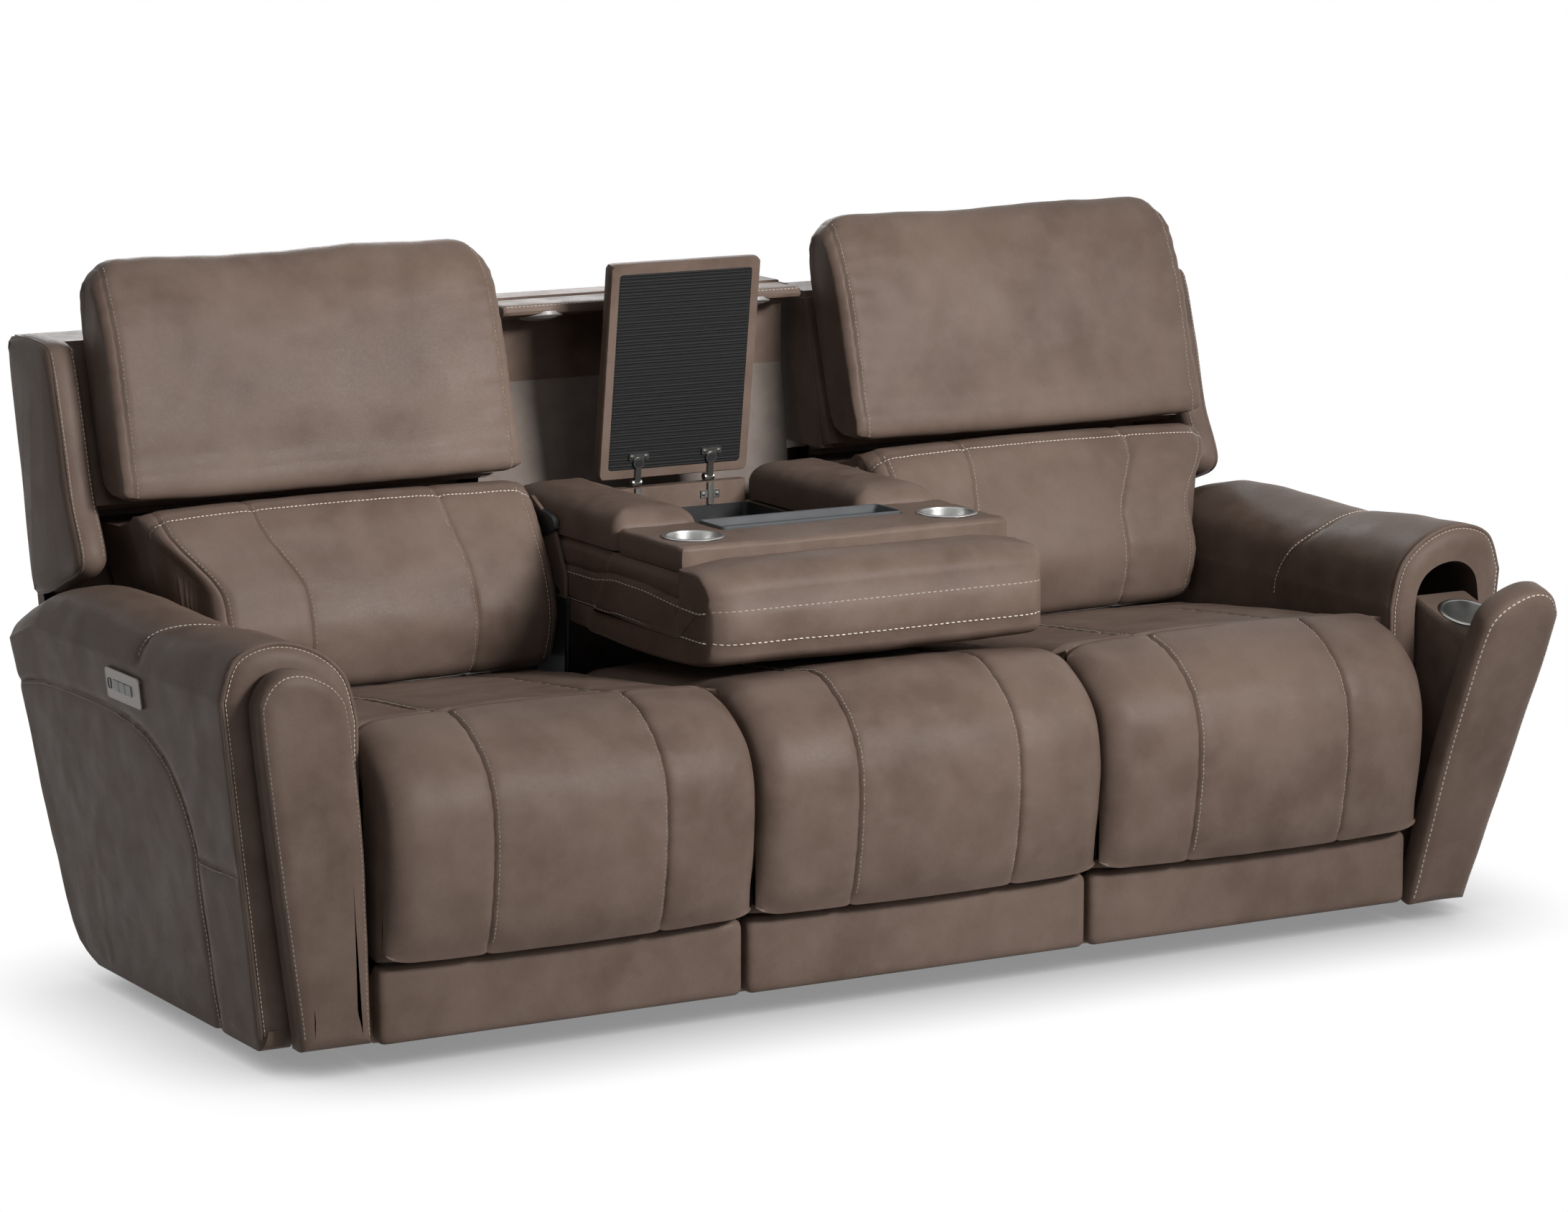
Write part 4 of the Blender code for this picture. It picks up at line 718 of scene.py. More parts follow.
def build_seats(sewing):
    """The two footrest pads, the two seat cushions and the fixed centre seat."""
    front = smooth_curve(PAD_FRONT, PROFILE_STEP, closed=False)
    pad = front[:-1] + straight(PAD_BACK, PROFILE_STEP)
    top = smooth_curve(SEAT_TOP, PROFILE_STEP, closed=False)
    seat = top[:-1] + straight(SEAT_REST, PROFILE_STEP)
    for seed, (name, side) in enumerate(SIDES):
        centre = side * SEAT_X
        sew = range(len(front) - SEWN_SHORT)
        body = f"{name}_footrest"
        sewn_pad(f"{body}_leather", pad, sew, centre, HALF_SEAT, body, (f"{body}_pad",), sewing, seed=seed)
        sew = range(SEAT_SEWN[0], len(top) + SEAT_SEWN[1])
        nodes = (f"{name}_seat_cushion",)
        form = {"draw": 0.026, "seed": seed + 4}
        sewn_pad(f"{name}_seat_leather", seat, sew, centre, HALF_SEAT, "base", nodes, sewing, **form)
    crest = smooth_curve(SEAT_TOP[1:] + PAD_FRONT, PROFILE_STEP, closed=False)
    middle = crest[:-1] + straight(CENTRE_REST, PROFILE_STEP)
    sew = range(CENTRE_SEWN_FROM, len(crest) - SEWN_SHORT)
    nodes = ("centre_seat_cushion",)
    sewn_pad("centre_seat_leather", middle, sew, 0.0, HALF_SEAT, "base", nodes, sewing, seed=9)


def shell_rear(z):
    """Depth of the outer face of a back shell at a height."""
    return SHELL_REAR_TOP - (SHELL_TOP - z) * SHELL_LEAN


def head_point(up, forward):
    """A (depth, z) place on a headrest, up along its lean and forward across it."""
    lean_y = math.sin(HEAD_LEAN)
    lean_z = math.cos(HEAD_LEAN)
    return (HEAD_PIVOT[0] + up * lean_y - forward * lean_z, HEAD_PIVOT[1] + up * lean_z + forward * lean_y)


LUMBAR_REAR = ((0.716, 0.702, 0.0), (0.735, 0.690, 0.0), (0.790, 0.676, 0.0))
LUMBAR_SHOULDER = 0.670
LUMBAR_BASE = 0.430
LUMBAR_GAP = 0.0004
LUMBAR_SEAM = 0.7135
LUMBAR_END_STITCH = 0.018
LUMBAR_INNER = 0.306
LUMBAR_LOW = 0.884
LUMBAR_HIGH = 0.955
FLARE_FROM = 0.582
FLARE_RISE = 0.118


def build_lumbar(name, side, sewing):
    """A lower back cushion, which widens over the arm."""
    half = (LUMBAR_LOW - LUMBAR_INNER) / 2
    front = smooth_curve(LUMBAR_FRONT, PROFILE_STEP, closed=False)
    upper, lower = [shell_rear(z) - SHELL_WALL - LUMBAR_GAP for z in (LUMBAR_SHOULDER, LUMBAR_BASE)]
    back = [front[-1], *LUMBAR_REAR, (upper, LUMBAR_SHOULDER, 0.0), (lower, LUMBAR_BASE, 0.0)]
    back += [(lower - 0.02, LUMBAR_BASE - 0.006, 0.0), front[0]]

    def flare(point):
        """Widens the cushion's upper part towards its outer end."""
        share = (side * point.x - LUMBAR_INNER) / (LUMBAR_LOW - LUMBAR_INNER)
        rise = smooth_share((point.z - FLARE_FROM) / FLARE_RISE)
        return point + Vector((side * share * rise * (LUMBAR_HIGH - LUMBAR_LOW), 0.0, 0.0))

    sew = range(LUMBAR_SEWN_FROM, len(front) - SEWN_SHORT)
    sewn_pad(
        f"{name}_lumbar_leather",
        front[:-1] + straight(back, PROFILE_STEP),
        sew,
        side * (LUMBAR_LOW + LUMBAR_INNER) / 2,
        half,
        f"{name}_back",
        (f"{name}_lumbar_cushion",),
        sewing,
        bend=flare,
        seed=12 + side,
        edge=0.034,
        seams=((nearest([point[1] for point in front], LUMBAR_SEAM), -1),),
        stitches=(STITCH_X, half - LUMBAR_END_STITCH),
        groove=0.0035,
    )


def build_headrest(name, side, sewing):
    """A plump headrest pillow with sewn side panels."""
    profile = [(*head_point(up, forward), soft) for up, forward, soft in HEAD_OUTLINE]
    profile = smooth_curve(profile, PROFILE_STEP)
    half = (HEAD_OUTER - HEAD_INNER) / 2
    middle = side * (HEAD_OUTER + HEAD_INNER) / 2
    top = head_point(HEAD_LENGTH, 0.0)[1]

    def sag(point):
        """Rounds the pillow's upper corners and lets its top dip."""
        across, z = round_corner(point.x - middle, point.z, half, top, HEAD_CORNER)
        depth = point.y + (z - point.z) * math.tan(HEAD_LEAN)
        share = (across + half) / (2 * half)
        drop = HEAD_SAG * math.exp(-(((share - SAG_PLACE) / SAG_WIDTH) ** 2))
        return Vector((middle + across, depth, z - drop * smooth_share((z - SAG_FROM) / SAG_RISE)))

    sewn_pad(
        f"{name}_headrest_leather",
        profile,
        HEAD_SEWN,
        middle,
        half,
        f"{name}_headrest",
        (f"{name}_headrest_cushion",),
        sewing,
        stitches=(half - HEAD_END_STITCH,),
        groove=0.0026,
        edge=0.030,
        draw=0.021,
        crown=0.007,
        wrinkle=1.5,
        tug=0.7,
        seed=20 + side,
        bend=sag,
    )


WING_OUTLINE = (
    (0.736, 0.632),
    (0.775, 0.725),
    (0.806, 0.830),
    (0.838, 0.926),
    (0.868, SHELL_TOP),
    (0.985, SHELL_TOP),
    (1.009, 0.922),
    (shell_rear(0.750), 0.750),
    (shell_rear(0.580), 0.580),
    (0.900, 0.562),
    (0.815, 0.590),
)
WING_OUTER = 1.038
WING_THICK = 0.052
# Shares of the wing's thickness from its inner face, with how far its outline is drawn in there
WING_EDGE = ((0.0, 0.016), (0.06, 0.007), (0.18, 0.001))
WING_ROUND = (*WING_EDGE, (0.5, -0.002), *((1 - share, inset) for share, inset in reversed(WING_EDGE)))
PANEL_INNER = 0.303
INNER_WING_X = (0.300, 0.322)
INNER_WING_FOOT = 0.700
# The wing's thread runs before this depth and above this height
WING_SEWN = (0.858, 0.64)
SHELL_GAP = 0.008
PANEL_TOP_FRONT = head_point(0.200, -HEAD_RADIUS - SHELL_GAP)
PANEL_LOW_FRONT = head_point(-0.045, -HEAD_RADIUS - SHELL_GAP)
PANEL_LEDGE = PANEL_LOW_FRONT[0] + 0.030
REAR_PANEL = (
    (shell_rear(SHELL_BOTTOM) - SHELL_WALL, SHELL_BOTTOM),
    (shell_rear(SHELL_BOTTOM), SHELL_BOTTOM),
    (shell_rear(0.925), 0.925),
    (SHELL_REAR_TOP - 0.014, SHELL_TOP),
    (PANEL_TOP_FRONT[0] + 0.012, SHELL_TOP),
    (PANEL_TOP_FRONT[0], SHELL_TOP - 0.016),
    PANEL_LOW_FRONT,
    (PANEL_LEDGE, PANEL_LOW_FRONT[1] - 0.012),
    (shell_rear(0.680) - SHELL_WALL, 0.680),
)
PANEL_ROUND = ((PANEL_INNER, 0.006), (PANEL_INNER + 0.004, 0.0), (WING_OUTER - 0.012, 0.0))
POST_HALF = 0.010
POST_EYE = 0.018
LUG_HALF = 0.016
LUG_CORNER = 0.0155
LUG_SHIFT = 0.035


def build_shell(name, side, sewing):
    """A back's rear panel, its outer wing and the welt along the wing's front edge."""
    body = f"{name}_back"
    wing = smooth_curve(WING_OUTLINE, 0.012)
    rings = []
    for share, inset in WING_ROUND:
        x = WING_OUTER - WING_THICK * (1 - share)
        soft = [inset + 0.0015 * waves((x, y, z), 14.0, side + 3) for y, z in wing]
        rings.append([place(side * x, y, z) for y, z in drawn_in(wing, soft)])
    shell = loft(rings)
    threads = bmesh.new()
    front_edge = [j for j, (y, z) in enumerate(wing) if y < WING_SEWN[0] and z > WING_SEWN[1]]
    for ring in (rings[2], rings[4]):
        path = [ring[j] + Vector((0.0, -0.0006, 0.0)) for j in front_edge]
        add_to(threads, stitch_row(path, [Vector((0.0, -1.0, 0.3)).normalized()] * len(path), sewing))
    piece(f"{name}_wing_thread", threads, "thread", body)
    outline = straight([*REAR_PANEL, REAR_PANEL[0]], 0.02)
    rings = []
    for x, inset in PANEL_ROUND:
        rings.append([place(side * x, y, z) for y, z in drawn_in(outline, [inset] * len(outline))])
    add_to(shell, loft(rings))
    inner_top = SHELL_TOP - 0.010
    inner_wing = [(0.815, INNER_WING_FOOT), (0.872, inner_top), (0.980, inner_top)]
    inner_wing.append((shell_rear(INNER_WING_FOOT) - 0.004, INNER_WING_FOOT))
    add_to(shell, across_x(straight([*inner_wing, inner_wing[0]], 0.02), *(side * x for x in INNER_WING_X)))
    piece(f"{name}_back_leather", shell, "leather", body, (f"{name}_back_shell",))
    build_posts(name, side)
    welt = [place(side * (WING_OUTER - 0.010), y, z) for y, z in drawn_in(wing, [0.0035] * len(wing))]
    piece(f"{name}_wing_welt", tube(welt, 0.0032, closed=True), "leather", body)


def build_posts(name, side):
    """The steel posts that carry a back on its pivot, and the lugs that carry its headrest."""
    posts = bmesh.new()
    inside = shell_rear(SHELL_BOTTOM) - SHELL_WALL / 2
    post = circle(RECLINE_PIVOT, POST_EYE, 12)[3:10]
    post += [(inside, SHELL_BOTTOM + 0.004), (inside, SHELL_BOTTOM + 0.062), (0.700, 0.392)]
    lug_low = [middle - LUG_HALF for middle in HEAD_PIVOT]
    lug = rounded(lug_low, (PANEL_LEDGE, HEAD_PIVOT[1] + LUG_HALF), LUG_CORNER)
    for sign in (-1, 1):
        middle = side * SEAT_X + sign * POST_X
        add_to(posts, across_x(post, middle - POST_HALF, middle + POST_HALF))
        middle = side * (SEAT_X + LUG_SHIFT) + sign * LUG_X
        add_to(posts, across_x(lug, middle - POST_HALF, middle + POST_HALF))
    piece(f"{name}_back_posts", posts, "steel", f"{name}_back")


ARM_INNER = ((0.903, 0.035), (0.902, 0.065), (0.897, 0.270))
ARM_ROLL = ((0.897, 0.500), (0.916, 0.566), (0.964, 0.608), (1.028, 0.624), (1.086, 0.604), (1.109, 0.545))
ARM_OUTER_FOOT = (1.055, 0.035)
ARM_SLOPE = (ARM_ROLL[-1][0] - ARM_OUTER_FOOT[0]) / (ARM_ROLL[-1][1] - ARM_OUTER_FOOT[1])
ARM_DIPS = (
    (0.045, 0.0),
    (0.200, 0.3),
    (0.330, 1.0),
    (0.450, 0.9),
    (0.580, 0.6),
    (0.680, 0.8),
    (0.740, 1.5),
    (0.800, 3.0),
    (0.848, 4.4),
    (0.860, 5.0),
)
ARM_REAR = (
    (0.035, 0.652),
    (0.045, 0.690),
    (0.060, 0.720),
    (0.085, 0.741),
    (0.120, 0.756),
    (0.270, 0.800),
    (0.545, 0.860),
    (0.580, 0.857),
    (0.605, 0.846),
    (0.625, 0.828),
)
ARM_SLANT_FROM = 0.580
ARM_DIP = 0.018
ARM_FRONT_EDGE = (
    (0.0450, 0.0330),
    (0.0456, 0.0250),
    (0.0474, 0.0180),
    (0.0502, 0.0122),
    (0.0540, 0.0074),
    (0.0580, 0.0038),
    (0.0625, 0.0012),
)
SIDE_SEAM = (
    (0.847, 0.460),
    (0.564, 0.466),
    (0.403, 0.459),
    (0.311, 0.430),
    (0.248, 0.373),
    (0.217, 0.305),
    (0.213, 0.220),
    (0.204, 0.072),
    (0.199, 0.036),
)
SHORT_SEAM = ((0.213, 0.288), (0.055, 0.290))
POD_PANEL = (
    (0.909, 0.042),
    (0.915, 0.300),
    (0.932, 0.500),
    (0.950, 0.556),
    (0.998, 0.586),
    (1.042, 0.586),
    (1.070, 0.556),
    (1.073, 0.505),
    (1.046, 0.270),
    (1.017, 0.042),
)
POD_SPINE = ((0.963, 0.098), (1.008, 0.518))
POD_PIVOT = (0.055, 0.062)
POD_OPEN = math.radians(17.5)
POCKET_OUTER = ((0.005, 1.005), (0.500, 1.060))
POCKET = (
    (0.936, 0.005),
    (0.936, 0.490),
    (0.941, 0.524),
    (0.958, 0.550),
    (0.990, 0.565),
    (1.026, 0.564),
    (1.052, 0.542),
    (1.060, 0.500),
)
POCKET_REAR = 0.240
POCKET_TOP = 0.5695
LINING_FRONT = 0.075
ARM_WELT = 0.0580
ARM_THREAD = 0.0530
ARM_SEWN_FROM = 0.05
SIDE_SEWN = (0.04, 0.54)
TOP_SEWN_FROM = 0.470
# How far behind and below a seam on the arm's outer face its thread runs, and behind the one over its roll
SIDE_THREAD_SHIFT = (0.0030, -0.0055)
SIDE_THREAD_LIFT = 0.0012
TOP_THREAD_SHIFT = 0.0065


def line_value(knots, value):
    """The value of a line through knots, held at its ends."""
    if value <= knots[0][0]:
        return knots[0][1]
    for (low, first), (high, second) in zip(knots, knots[1:]):
        if value <= high:
            return first + (second - first) * (value - low) / (high - low)
    return knots[-1][1]


def distance_to(path, point):
    """The distance from a point to a path of straight stretches."""
    least = 1.0
    for first, second in zip(path, path[1:]):
        run = Vector(second) - Vector(first)
        share = min(max((Vector(point) - Vector(first)).dot(run) / run.length_squared, 0.0), 1.0)
        least = min(least, (Vector(first) + run * share - Vector(point)).length)
    return least


def arm_outer(z):
    """X of the flat outer face of an arm at a height."""
    return ARM_OUTER_FOOT[0] + (z - ARM_OUTER_FOOT[1]) * ARM_SLOPE


def arm_outline():
    """The (x, z) section of an arm: up its inner face, over the roll, down its outer face and back."""
    inner = straight((*ARM_INNER, ARM_ROLL[0]), 0.009)
    roll = smooth_curve(ARM_ROLL, 0.007, closed=False)
    outer = straight((ARM_ROLL[-1], ARM_OUTER_FOOT), 0.0065)
    foot = straight((ARM_OUTER_FOOT, ARM_INNER[0]), 0.030)
    return inner + roll[:-1] + outer + foot


TOP_SEAM_RISE = (
    (0.463, 0.374),
    (0.492, 0.370),
    (0.523, 0.361),
    (0.560, 0.338),
    (0.582, 0.324),
    (0.600, 0.313),
)
TOP_SEAM_ACROSS = ((0.949, 0.313), (0.984, 0.313), (1.016, 0.318), (1.100, 0.356))
TOP_SEAM_LOW = 0.461
ARM_SPAN = (0.068, 0.848)
ARM_RING_PITCH = 0.0068
ARM_REAR_EDGE = ((0.8520, 0.0025), (0.8570, 0.0085), (0.8600, 0.0180))
ARM_END = 0.860
# Heights above which an arm's roll, and then its upper part, is lowered by the dip, with how far each reaches
ROLL_DIP = (0.545, 0.079)
UPPER_DIP = (0.40, 0.224)
ROLL_DIP_MOST = 1.5


def top_seam_depth(x, z):
    """Depth of the seam that crosses the arm's roll and runs down its inner face."""
    if x < TOP_SEAM_ACROSS[0][0]:
        return line_value(TOP_SEAM_RISE, z)
    return line_value(TOP_SEAM_ACROSS, x)


def arm_rings(side, sewing):
    """Rings of points along an arm, with their depths."""
    outline = arm_outline()
    side_seam = smooth_curve(SIDE_SEAM, 0.015, closed=False)
    start, end = ARM_SPAN
    count = round((end - start) / ARM_RING_PITCH)
    stations = [*ARM_FRONT_EDGE]
    stations += [(start + (end - start) * i / count, 0.0) for i in range(count + 1)]
    stations += ARM_REAR_EDGE
    rings = []
    for depth, inset in stations:
        dip = line_value(ARM_DIPS, depth)
        amounts = []
        for x, z in outline:
            pull = inset
            outside = x > arm_outer(z) - 0.002
            if outside and depth > 0.07:
                off = min(distance_to(side_seam, (depth, z)), distance_to(SHORT_SEAM, (depth, z)))
                pull += 0.8 * sewing.groove_depth * math.exp(-off / 0.006)
            if not outside and z > TOP_SEAM_LOW:
                off = abs(depth - top_seam_depth(x, z))
                pull += 0.7 * sewing.groove_depth * math.exp(-off / 0.007)
            if z > 0.05 and depth > 0.06:
                pull += sewing.wrinkle * 1.1 * waves((x, depth, z), 8.0, 30 + side)
                pull += sewing.wrinkle * 0.5 * waves((x, depth, z), 24.0, 33 + side)
            amounts.append(pull)
        ring = []
        for x, z in drawn_in(outline, amounts):
            lowered = max(z - ROLL_DIP[0], 0.0) / ROLL_DIP[1] * min(dip, ROLL_DIP_MOST)
            lowered += max(z - UPPER_DIP[0], 0.0) / UPPER_DIP[1] * max(dip - ROLL_DIP_MOST, 0.0)
            z -= lowered * ARM_DIP
            y = depth
            if depth > ARM_SLANT_FROM:
                share = (depth - ARM_SLANT_FROM) / (ARM_END - ARM_SLANT_FROM)
                y = ARM_SLANT_FROM + share * (line_value(ARM_REAR, z) - ARM_SLANT_FROM)
            ring.append(place(side * x, y, max(z, ARM_OUTER_FOOT[1])))
        rings.append(ring)
    return rings, [depth for depth, inset in stations], outline


def grid_normal(rings, i, j):
    """The direction out of a lofted skin at one of its points."""
    count = len(rings[0])
    along_rings = rings[min(i + 1, len(rings) - 1)][j] - rings[max(i - 1, 0)][j]
    around = rings[i][(j + 1) % count] - rings[i][j - 1]
    normal = along_rings.cross(around).normalized()
    middle = sum(rings[i], Vector()) / count
    return normal if normal.dot(rings[i][j] - middle) > 0 else -normal


def build_arm(name, side, sewing):
    """An arm with its rolled top, front welt, sewn seams and the pocket for the pod."""
    rings, depths, outline = arm_rings(side, sewing)
    obj = piece(f"{name}_arm_leather", loft(rings), "leather", "base", (f"{name}_arm",))
    pocket = [POCKET[0], *smooth_curve(POCKET[1:], 0.006, closed=False)]
    pocket.append((POCKET_OUTER[0][1], POCKET_OUTER[0][0]))
    spans = [[place(side * x, depth, z) for x, z in pocket] for depth in (-0.005, POCKET_REAR)]
    cut(obj, [loft(spans)])
    obj.data.materials.append(finish("lining"))
    for face in obj.data.polygons:
        x, y, z = face.center
        within = POCKET[0][0] - 0.001 < side * x < line_value(POCKET_OUTER, z) + 0.001 and z < POCKET_TOP
        face.material_index = 1 if within and LINING_FRONT < y - FRONT_Y < POCKET_REAR + 0.0005 else 0
    visible = [j for j, (x, z) in enumerate(outline) if z > ARM_SEWN_FROM]
    edge = nearest(depths, ARM_WELT)
    welt = [rings[edge][j] + grid_normal(rings, edge, j) * 0.0006 for j in visible]
    piece(f"{name}_arm_welt", tube(welt, 0.0036), "leather", "base")
    threads = bmesh.new()
    before = nearest(depths, ARM_THREAD)
    path = [rings[before][j] for j in visible]
    add_to(threads, stitch_row(path, [grid_normal(rings, before, j) for j in visible], sewing))
    for seam in (SIDE_SEAM, SHORT_SEAM):
        add_to(threads, side_seam_thread(seam, side, rings, depths, outline, sewing))
    add_to(threads, top_seam_thread(rings, depths, outline, sewing))
    piece(f"{name}_arm_thread", threads, "thread", "base")


def side_seam_thread(seam, side, rings, depths, outline, sewing):
    """Stitches beside a seam on an arm's flat outer face."""
    low, high = SIDE_SEWN
    outer = [j for j, (x, z) in enumerate(outline) if low < z < high and x > arm_outer(z) - 0.002]
    path = []
    normals = []
    for depth, z in smooth_curve(seam, 0.008, closed=False)[1:-1]:
        depth, z = depth + SIDE_THREAD_SHIFT[0], z + SIDE_THREAD_SHIFT[1]
        i = max(k for k in range(len(depths) - 1) if depths[k] <= depth)
        j = min(outer, key=lambda k: abs(outline[k][1] - z))
        share = (depth - depths[i]) / (depths[i + 1] - depths[i])
        up = Vector((side * ARM_SLOPE, 0.0, 1.0)) * (z - outline[j][1])
        normals.append(grid_normal(rings, i, j))
        path.append(rings[i][j].lerp(rings[i + 1][j], share) + up + normals[-1] * SIDE_THREAD_LIFT)
    return stitch_row(path, normals, sewing)


def top_seam_thread(rings, depths, outline, sewing):
    """Stitches behind the seam that crosses an arm's roll."""
    path = []
    normals = []
    for j, (x, z) in enumerate(outline):
        if z <= TOP_SEWN_FROM or x >= arm_outer(z) - 0.004:
            continue
        depth = top_seam_depth(x, z) + TOP_THREAD_SHIFT
        i = max(k for k in range(len(depths)) if depths[k] <= depth)
        share = (depth - depths[i]) / (depths[i + 1] - depths[i])
        path.append(rings[i][j].lerp(rings[i + 1][j], share))
        normals.append(grid_normal(rings, i, j))
    return stitch_row(path, normals, sewing)


def turned_about(pivot, angle):
    """The turn about an axis along X through a (depth, z) place."""
    middle = place(0.0, *pivot)
    return Matrix.Translation(middle) @ Matrix.Rotation(angle, 4, "X") @ Matrix.Translation(-middle)


def revolve(profile, centre, count=48):
    """A turned shape about a vertical axis from a (radius, z) profile that starts and ends on the axis."""
    shape = bmesh.new()
    rows = []
    for radius, z in profile:
        if radius == 0.0:
            rows.append([shape.verts.new(place(*centre, z))])
        else:
            rows.append([shape.verts.new(place(x, y, z)) for x, y in circle(centre, radius, count)])
    for row, following in zip(rows, rows[1:]):
        for i in range(count):
            j = (i + 1) % count
            corners = [row[i % len(row)], row[j % len(row)]]
            corners += [following[j % len(following)], following[i % len(following)]]
            shape.faces.new(list(dict.fromkeys(corners)))
    return shape


CUP_PROFILE = (
    (0.0, -0.0600),
    (0.0350, -0.0600),
    (0.0395, -0.0585),
    (0.0415, -0.0540),
    (0.0418, -0.0016),
    (0.0465, -0.0014),
    (0.0478, -0.0007),
    (0.0474, 0.0002),
    (0.0458, 0.0010),
    (0.0432, 0.0012),
    (0.0414, 0.0004),
    (0.0407, -0.0020),
    (0.0404, -0.0535),
    (0.0385, -0.0570),
    (0.0345, -0.0584),
    (0.0200, -0.0584),
    (0.0190, -0.0576),
    (0.0, -0.0576),
)
# Depths of the pod's skin, with how far its outline is drawn in and how much it ripples there
POD_SKIN = (
    (-0.0070, 0.024, 0.0),
    (-0.0066, 0.019, 0.3),
    (-0.0054, 0.0140, 0.6),
    (-0.0038, 0.0100, 0.8),
    (-0.0022, 0.0068, 1.0),
    (0.0004, 0.0030, 1.0),
    (0.0050, 0.0002, 1.0),
    (0.0140, -0.0006, 1.0),
    (0.0340, 0.0, 1.0),
    (0.0400, 0.003, 0.0),
)
POD_THREAD_RING = 4
POD_BOX_INNER = 0.945
POD_BOX_OUTER = ((0.045, 1.002), (0.490, 1.052))
POD_BOX_DEPTHS = (0.0390, 0.205)
POD_BOX_EDGE = ((0.045, 0.0), (0.478, 0.0), (0.486, 0.0015), (0.4895, 0.005), (0.490, 0.010))
POD_CUP = (1.0015, 0.125)
POD_CUP_TOP = 0.4920
POD_WELL = (0.430, 0.52)
POD_WELL_RADIUS = 0.0423


def cup_shape(centre, top):
    """A spun cup with a rolled rim, whose seat is at a height."""
    return revolve([(radius, top + rise) for radius, rise in CUP_PROFILE], centre)


def build_pod(name, side, sewing):
    """A pod at the front of an arm: its padded panel, its box and its cup. The right one stands open."""
    body = f"{name}_pod"
    turn = turned_about(POD_PIVOT, POD_OPEN if side > 0 else 0.0)
    seam = smooth_curve(POD_PANEL, 0.008, closed=False)
    panel = seam + straight((POD_PANEL[-1], POD_PANEL[0]), 0.02)[1:]
    rings = []
    for depth, inset, soft in POD_SKIN:
        ring = []
        for x, z in drawn_to_line(panel, POD_SPINE, inset):
            ripple = soft * sewing.wrinkle * 0.9 * waves((x, 0.0, z), 13.0, 40 + side)
            ring.append(turn @ place(side * x, depth + ripple, z))
        rings.append(ring)
    piece(f"{name}_pod_leather", loft(rings), "leather", body, (f"{name}_pod",))
    build_pod_box(name, side, turn)
    path = rings[POD_THREAD_RING][2 : len(seam) - 2]
    front = turn.to_3x3() @ Vector((0.0, -1.0, 0.0))
    threads = stitch_row(path, [front] * len(path), sewing, 1.12 + 0.1 * side)
    piece(f"{name}_pod_thread", threads, "thread", body)


def build_pod_box(name, side, turn):
    """The box behind a pod's panel, and the cup let into it."""
    body = f"{name}_pod"
    box_outline = rounded((-1.0, -1.0), (1.0, 1.0), 0.08)
    sections = []
    for z, inset in POD_BOX_EDGE:
        low = (POD_BOX_INNER + inset, POD_BOX_DEPTHS[0])
        high = (line_value(POD_BOX_OUTER, z) - inset, POD_BOX_DEPTHS[1] - inset)
        middle = [(a + b) / 2 for a, b in zip(low, high)]
        reach = [(b - a) / 2 for a, b in zip(low, high)]
        section = [(middle[0] + u * reach[0], middle[1] + v * reach[1]) for u, v in box_outline]
        sections.append([turn @ place(side * x, depth, z) for x, depth in section])
    obj = piece(f"{name}_pod_box", loft(sections), "leather", body)
    centre = (side * POD_CUP[0], POD_CUP[1])
    rim = circle(centre, POD_WELL_RADIUS, 48)
    cut(obj, [loft([[turn @ place(x, y, z) for x, y in rim] for z in POD_WELL])])
    cup = cup_shape(centre, POD_CUP_TOP)
    bmesh.ops.transform(cup, matrix=turn, verts=cup.verts)
    piece(f"{name}_pod_cup_spun", cup, "cup", body, (f"{name}_pod_cup",))


CONSOLE_FRONT = (
    (0.690, 0.522, 0.2),
    (0.560, 0.497, 1.0),
    (0.380, 0.490, 1.0),
    (0.220, 0.491, 1.0),
    (0.155, 0.4975, 1.0),
    (0.118, 0.509, 1.0),
    (0.103, 0.529, 1.0),
    (0.100, 0.562, 1.0),
    (0.103, 0.590, 1.0),
    (0.116, 0.622, 1.0),
    (0.146, 0.643, 1.0),
    (0.185, 0.646, 1.0),
)
CUSHION_BACK = ((0.2136, 0.642, 0.3), (0.2136, 0.5356, 0.0), (0.690, 0.5356, 0.0))
CUSHION_SEAMS = (0.527, 0.597)
CUSHION_TIP = 0.18
CONSOLE_HALF = 0.2885
CUP_PLACE = (0.224, 0.296)
CUP_TOP = 0.6735
CUP_WELL_RADIUS = 0.0424
CUP_WELL_LOW = 0.60
TUB_WELL_LOW = 0.6110
CUT_TOP = 0.70
SLAB = ((-CONSOLE_HALF, 0.216, 0.6324), (CONSOLE_HALF, 0.422, 0.6715))
ARM_PAD_X = (0.141, CONSOLE_HALF)
ARM_PAD_LOW = (0.424, 0.6324)
ARM_PAD_HIGH = (0.790, 0.698)
TRAY_FLOOR = 0.6587
TRAY = ((-0.155, 0.330), (0.165, 0.409))
TUB = (0.214, 0.790)
TUB_LOW = 0.5362
TUB_HIGH = 0.6318
TUB_CORNER = 0.012
TUB_POINTS = 300
TUB_LEVELS = 28
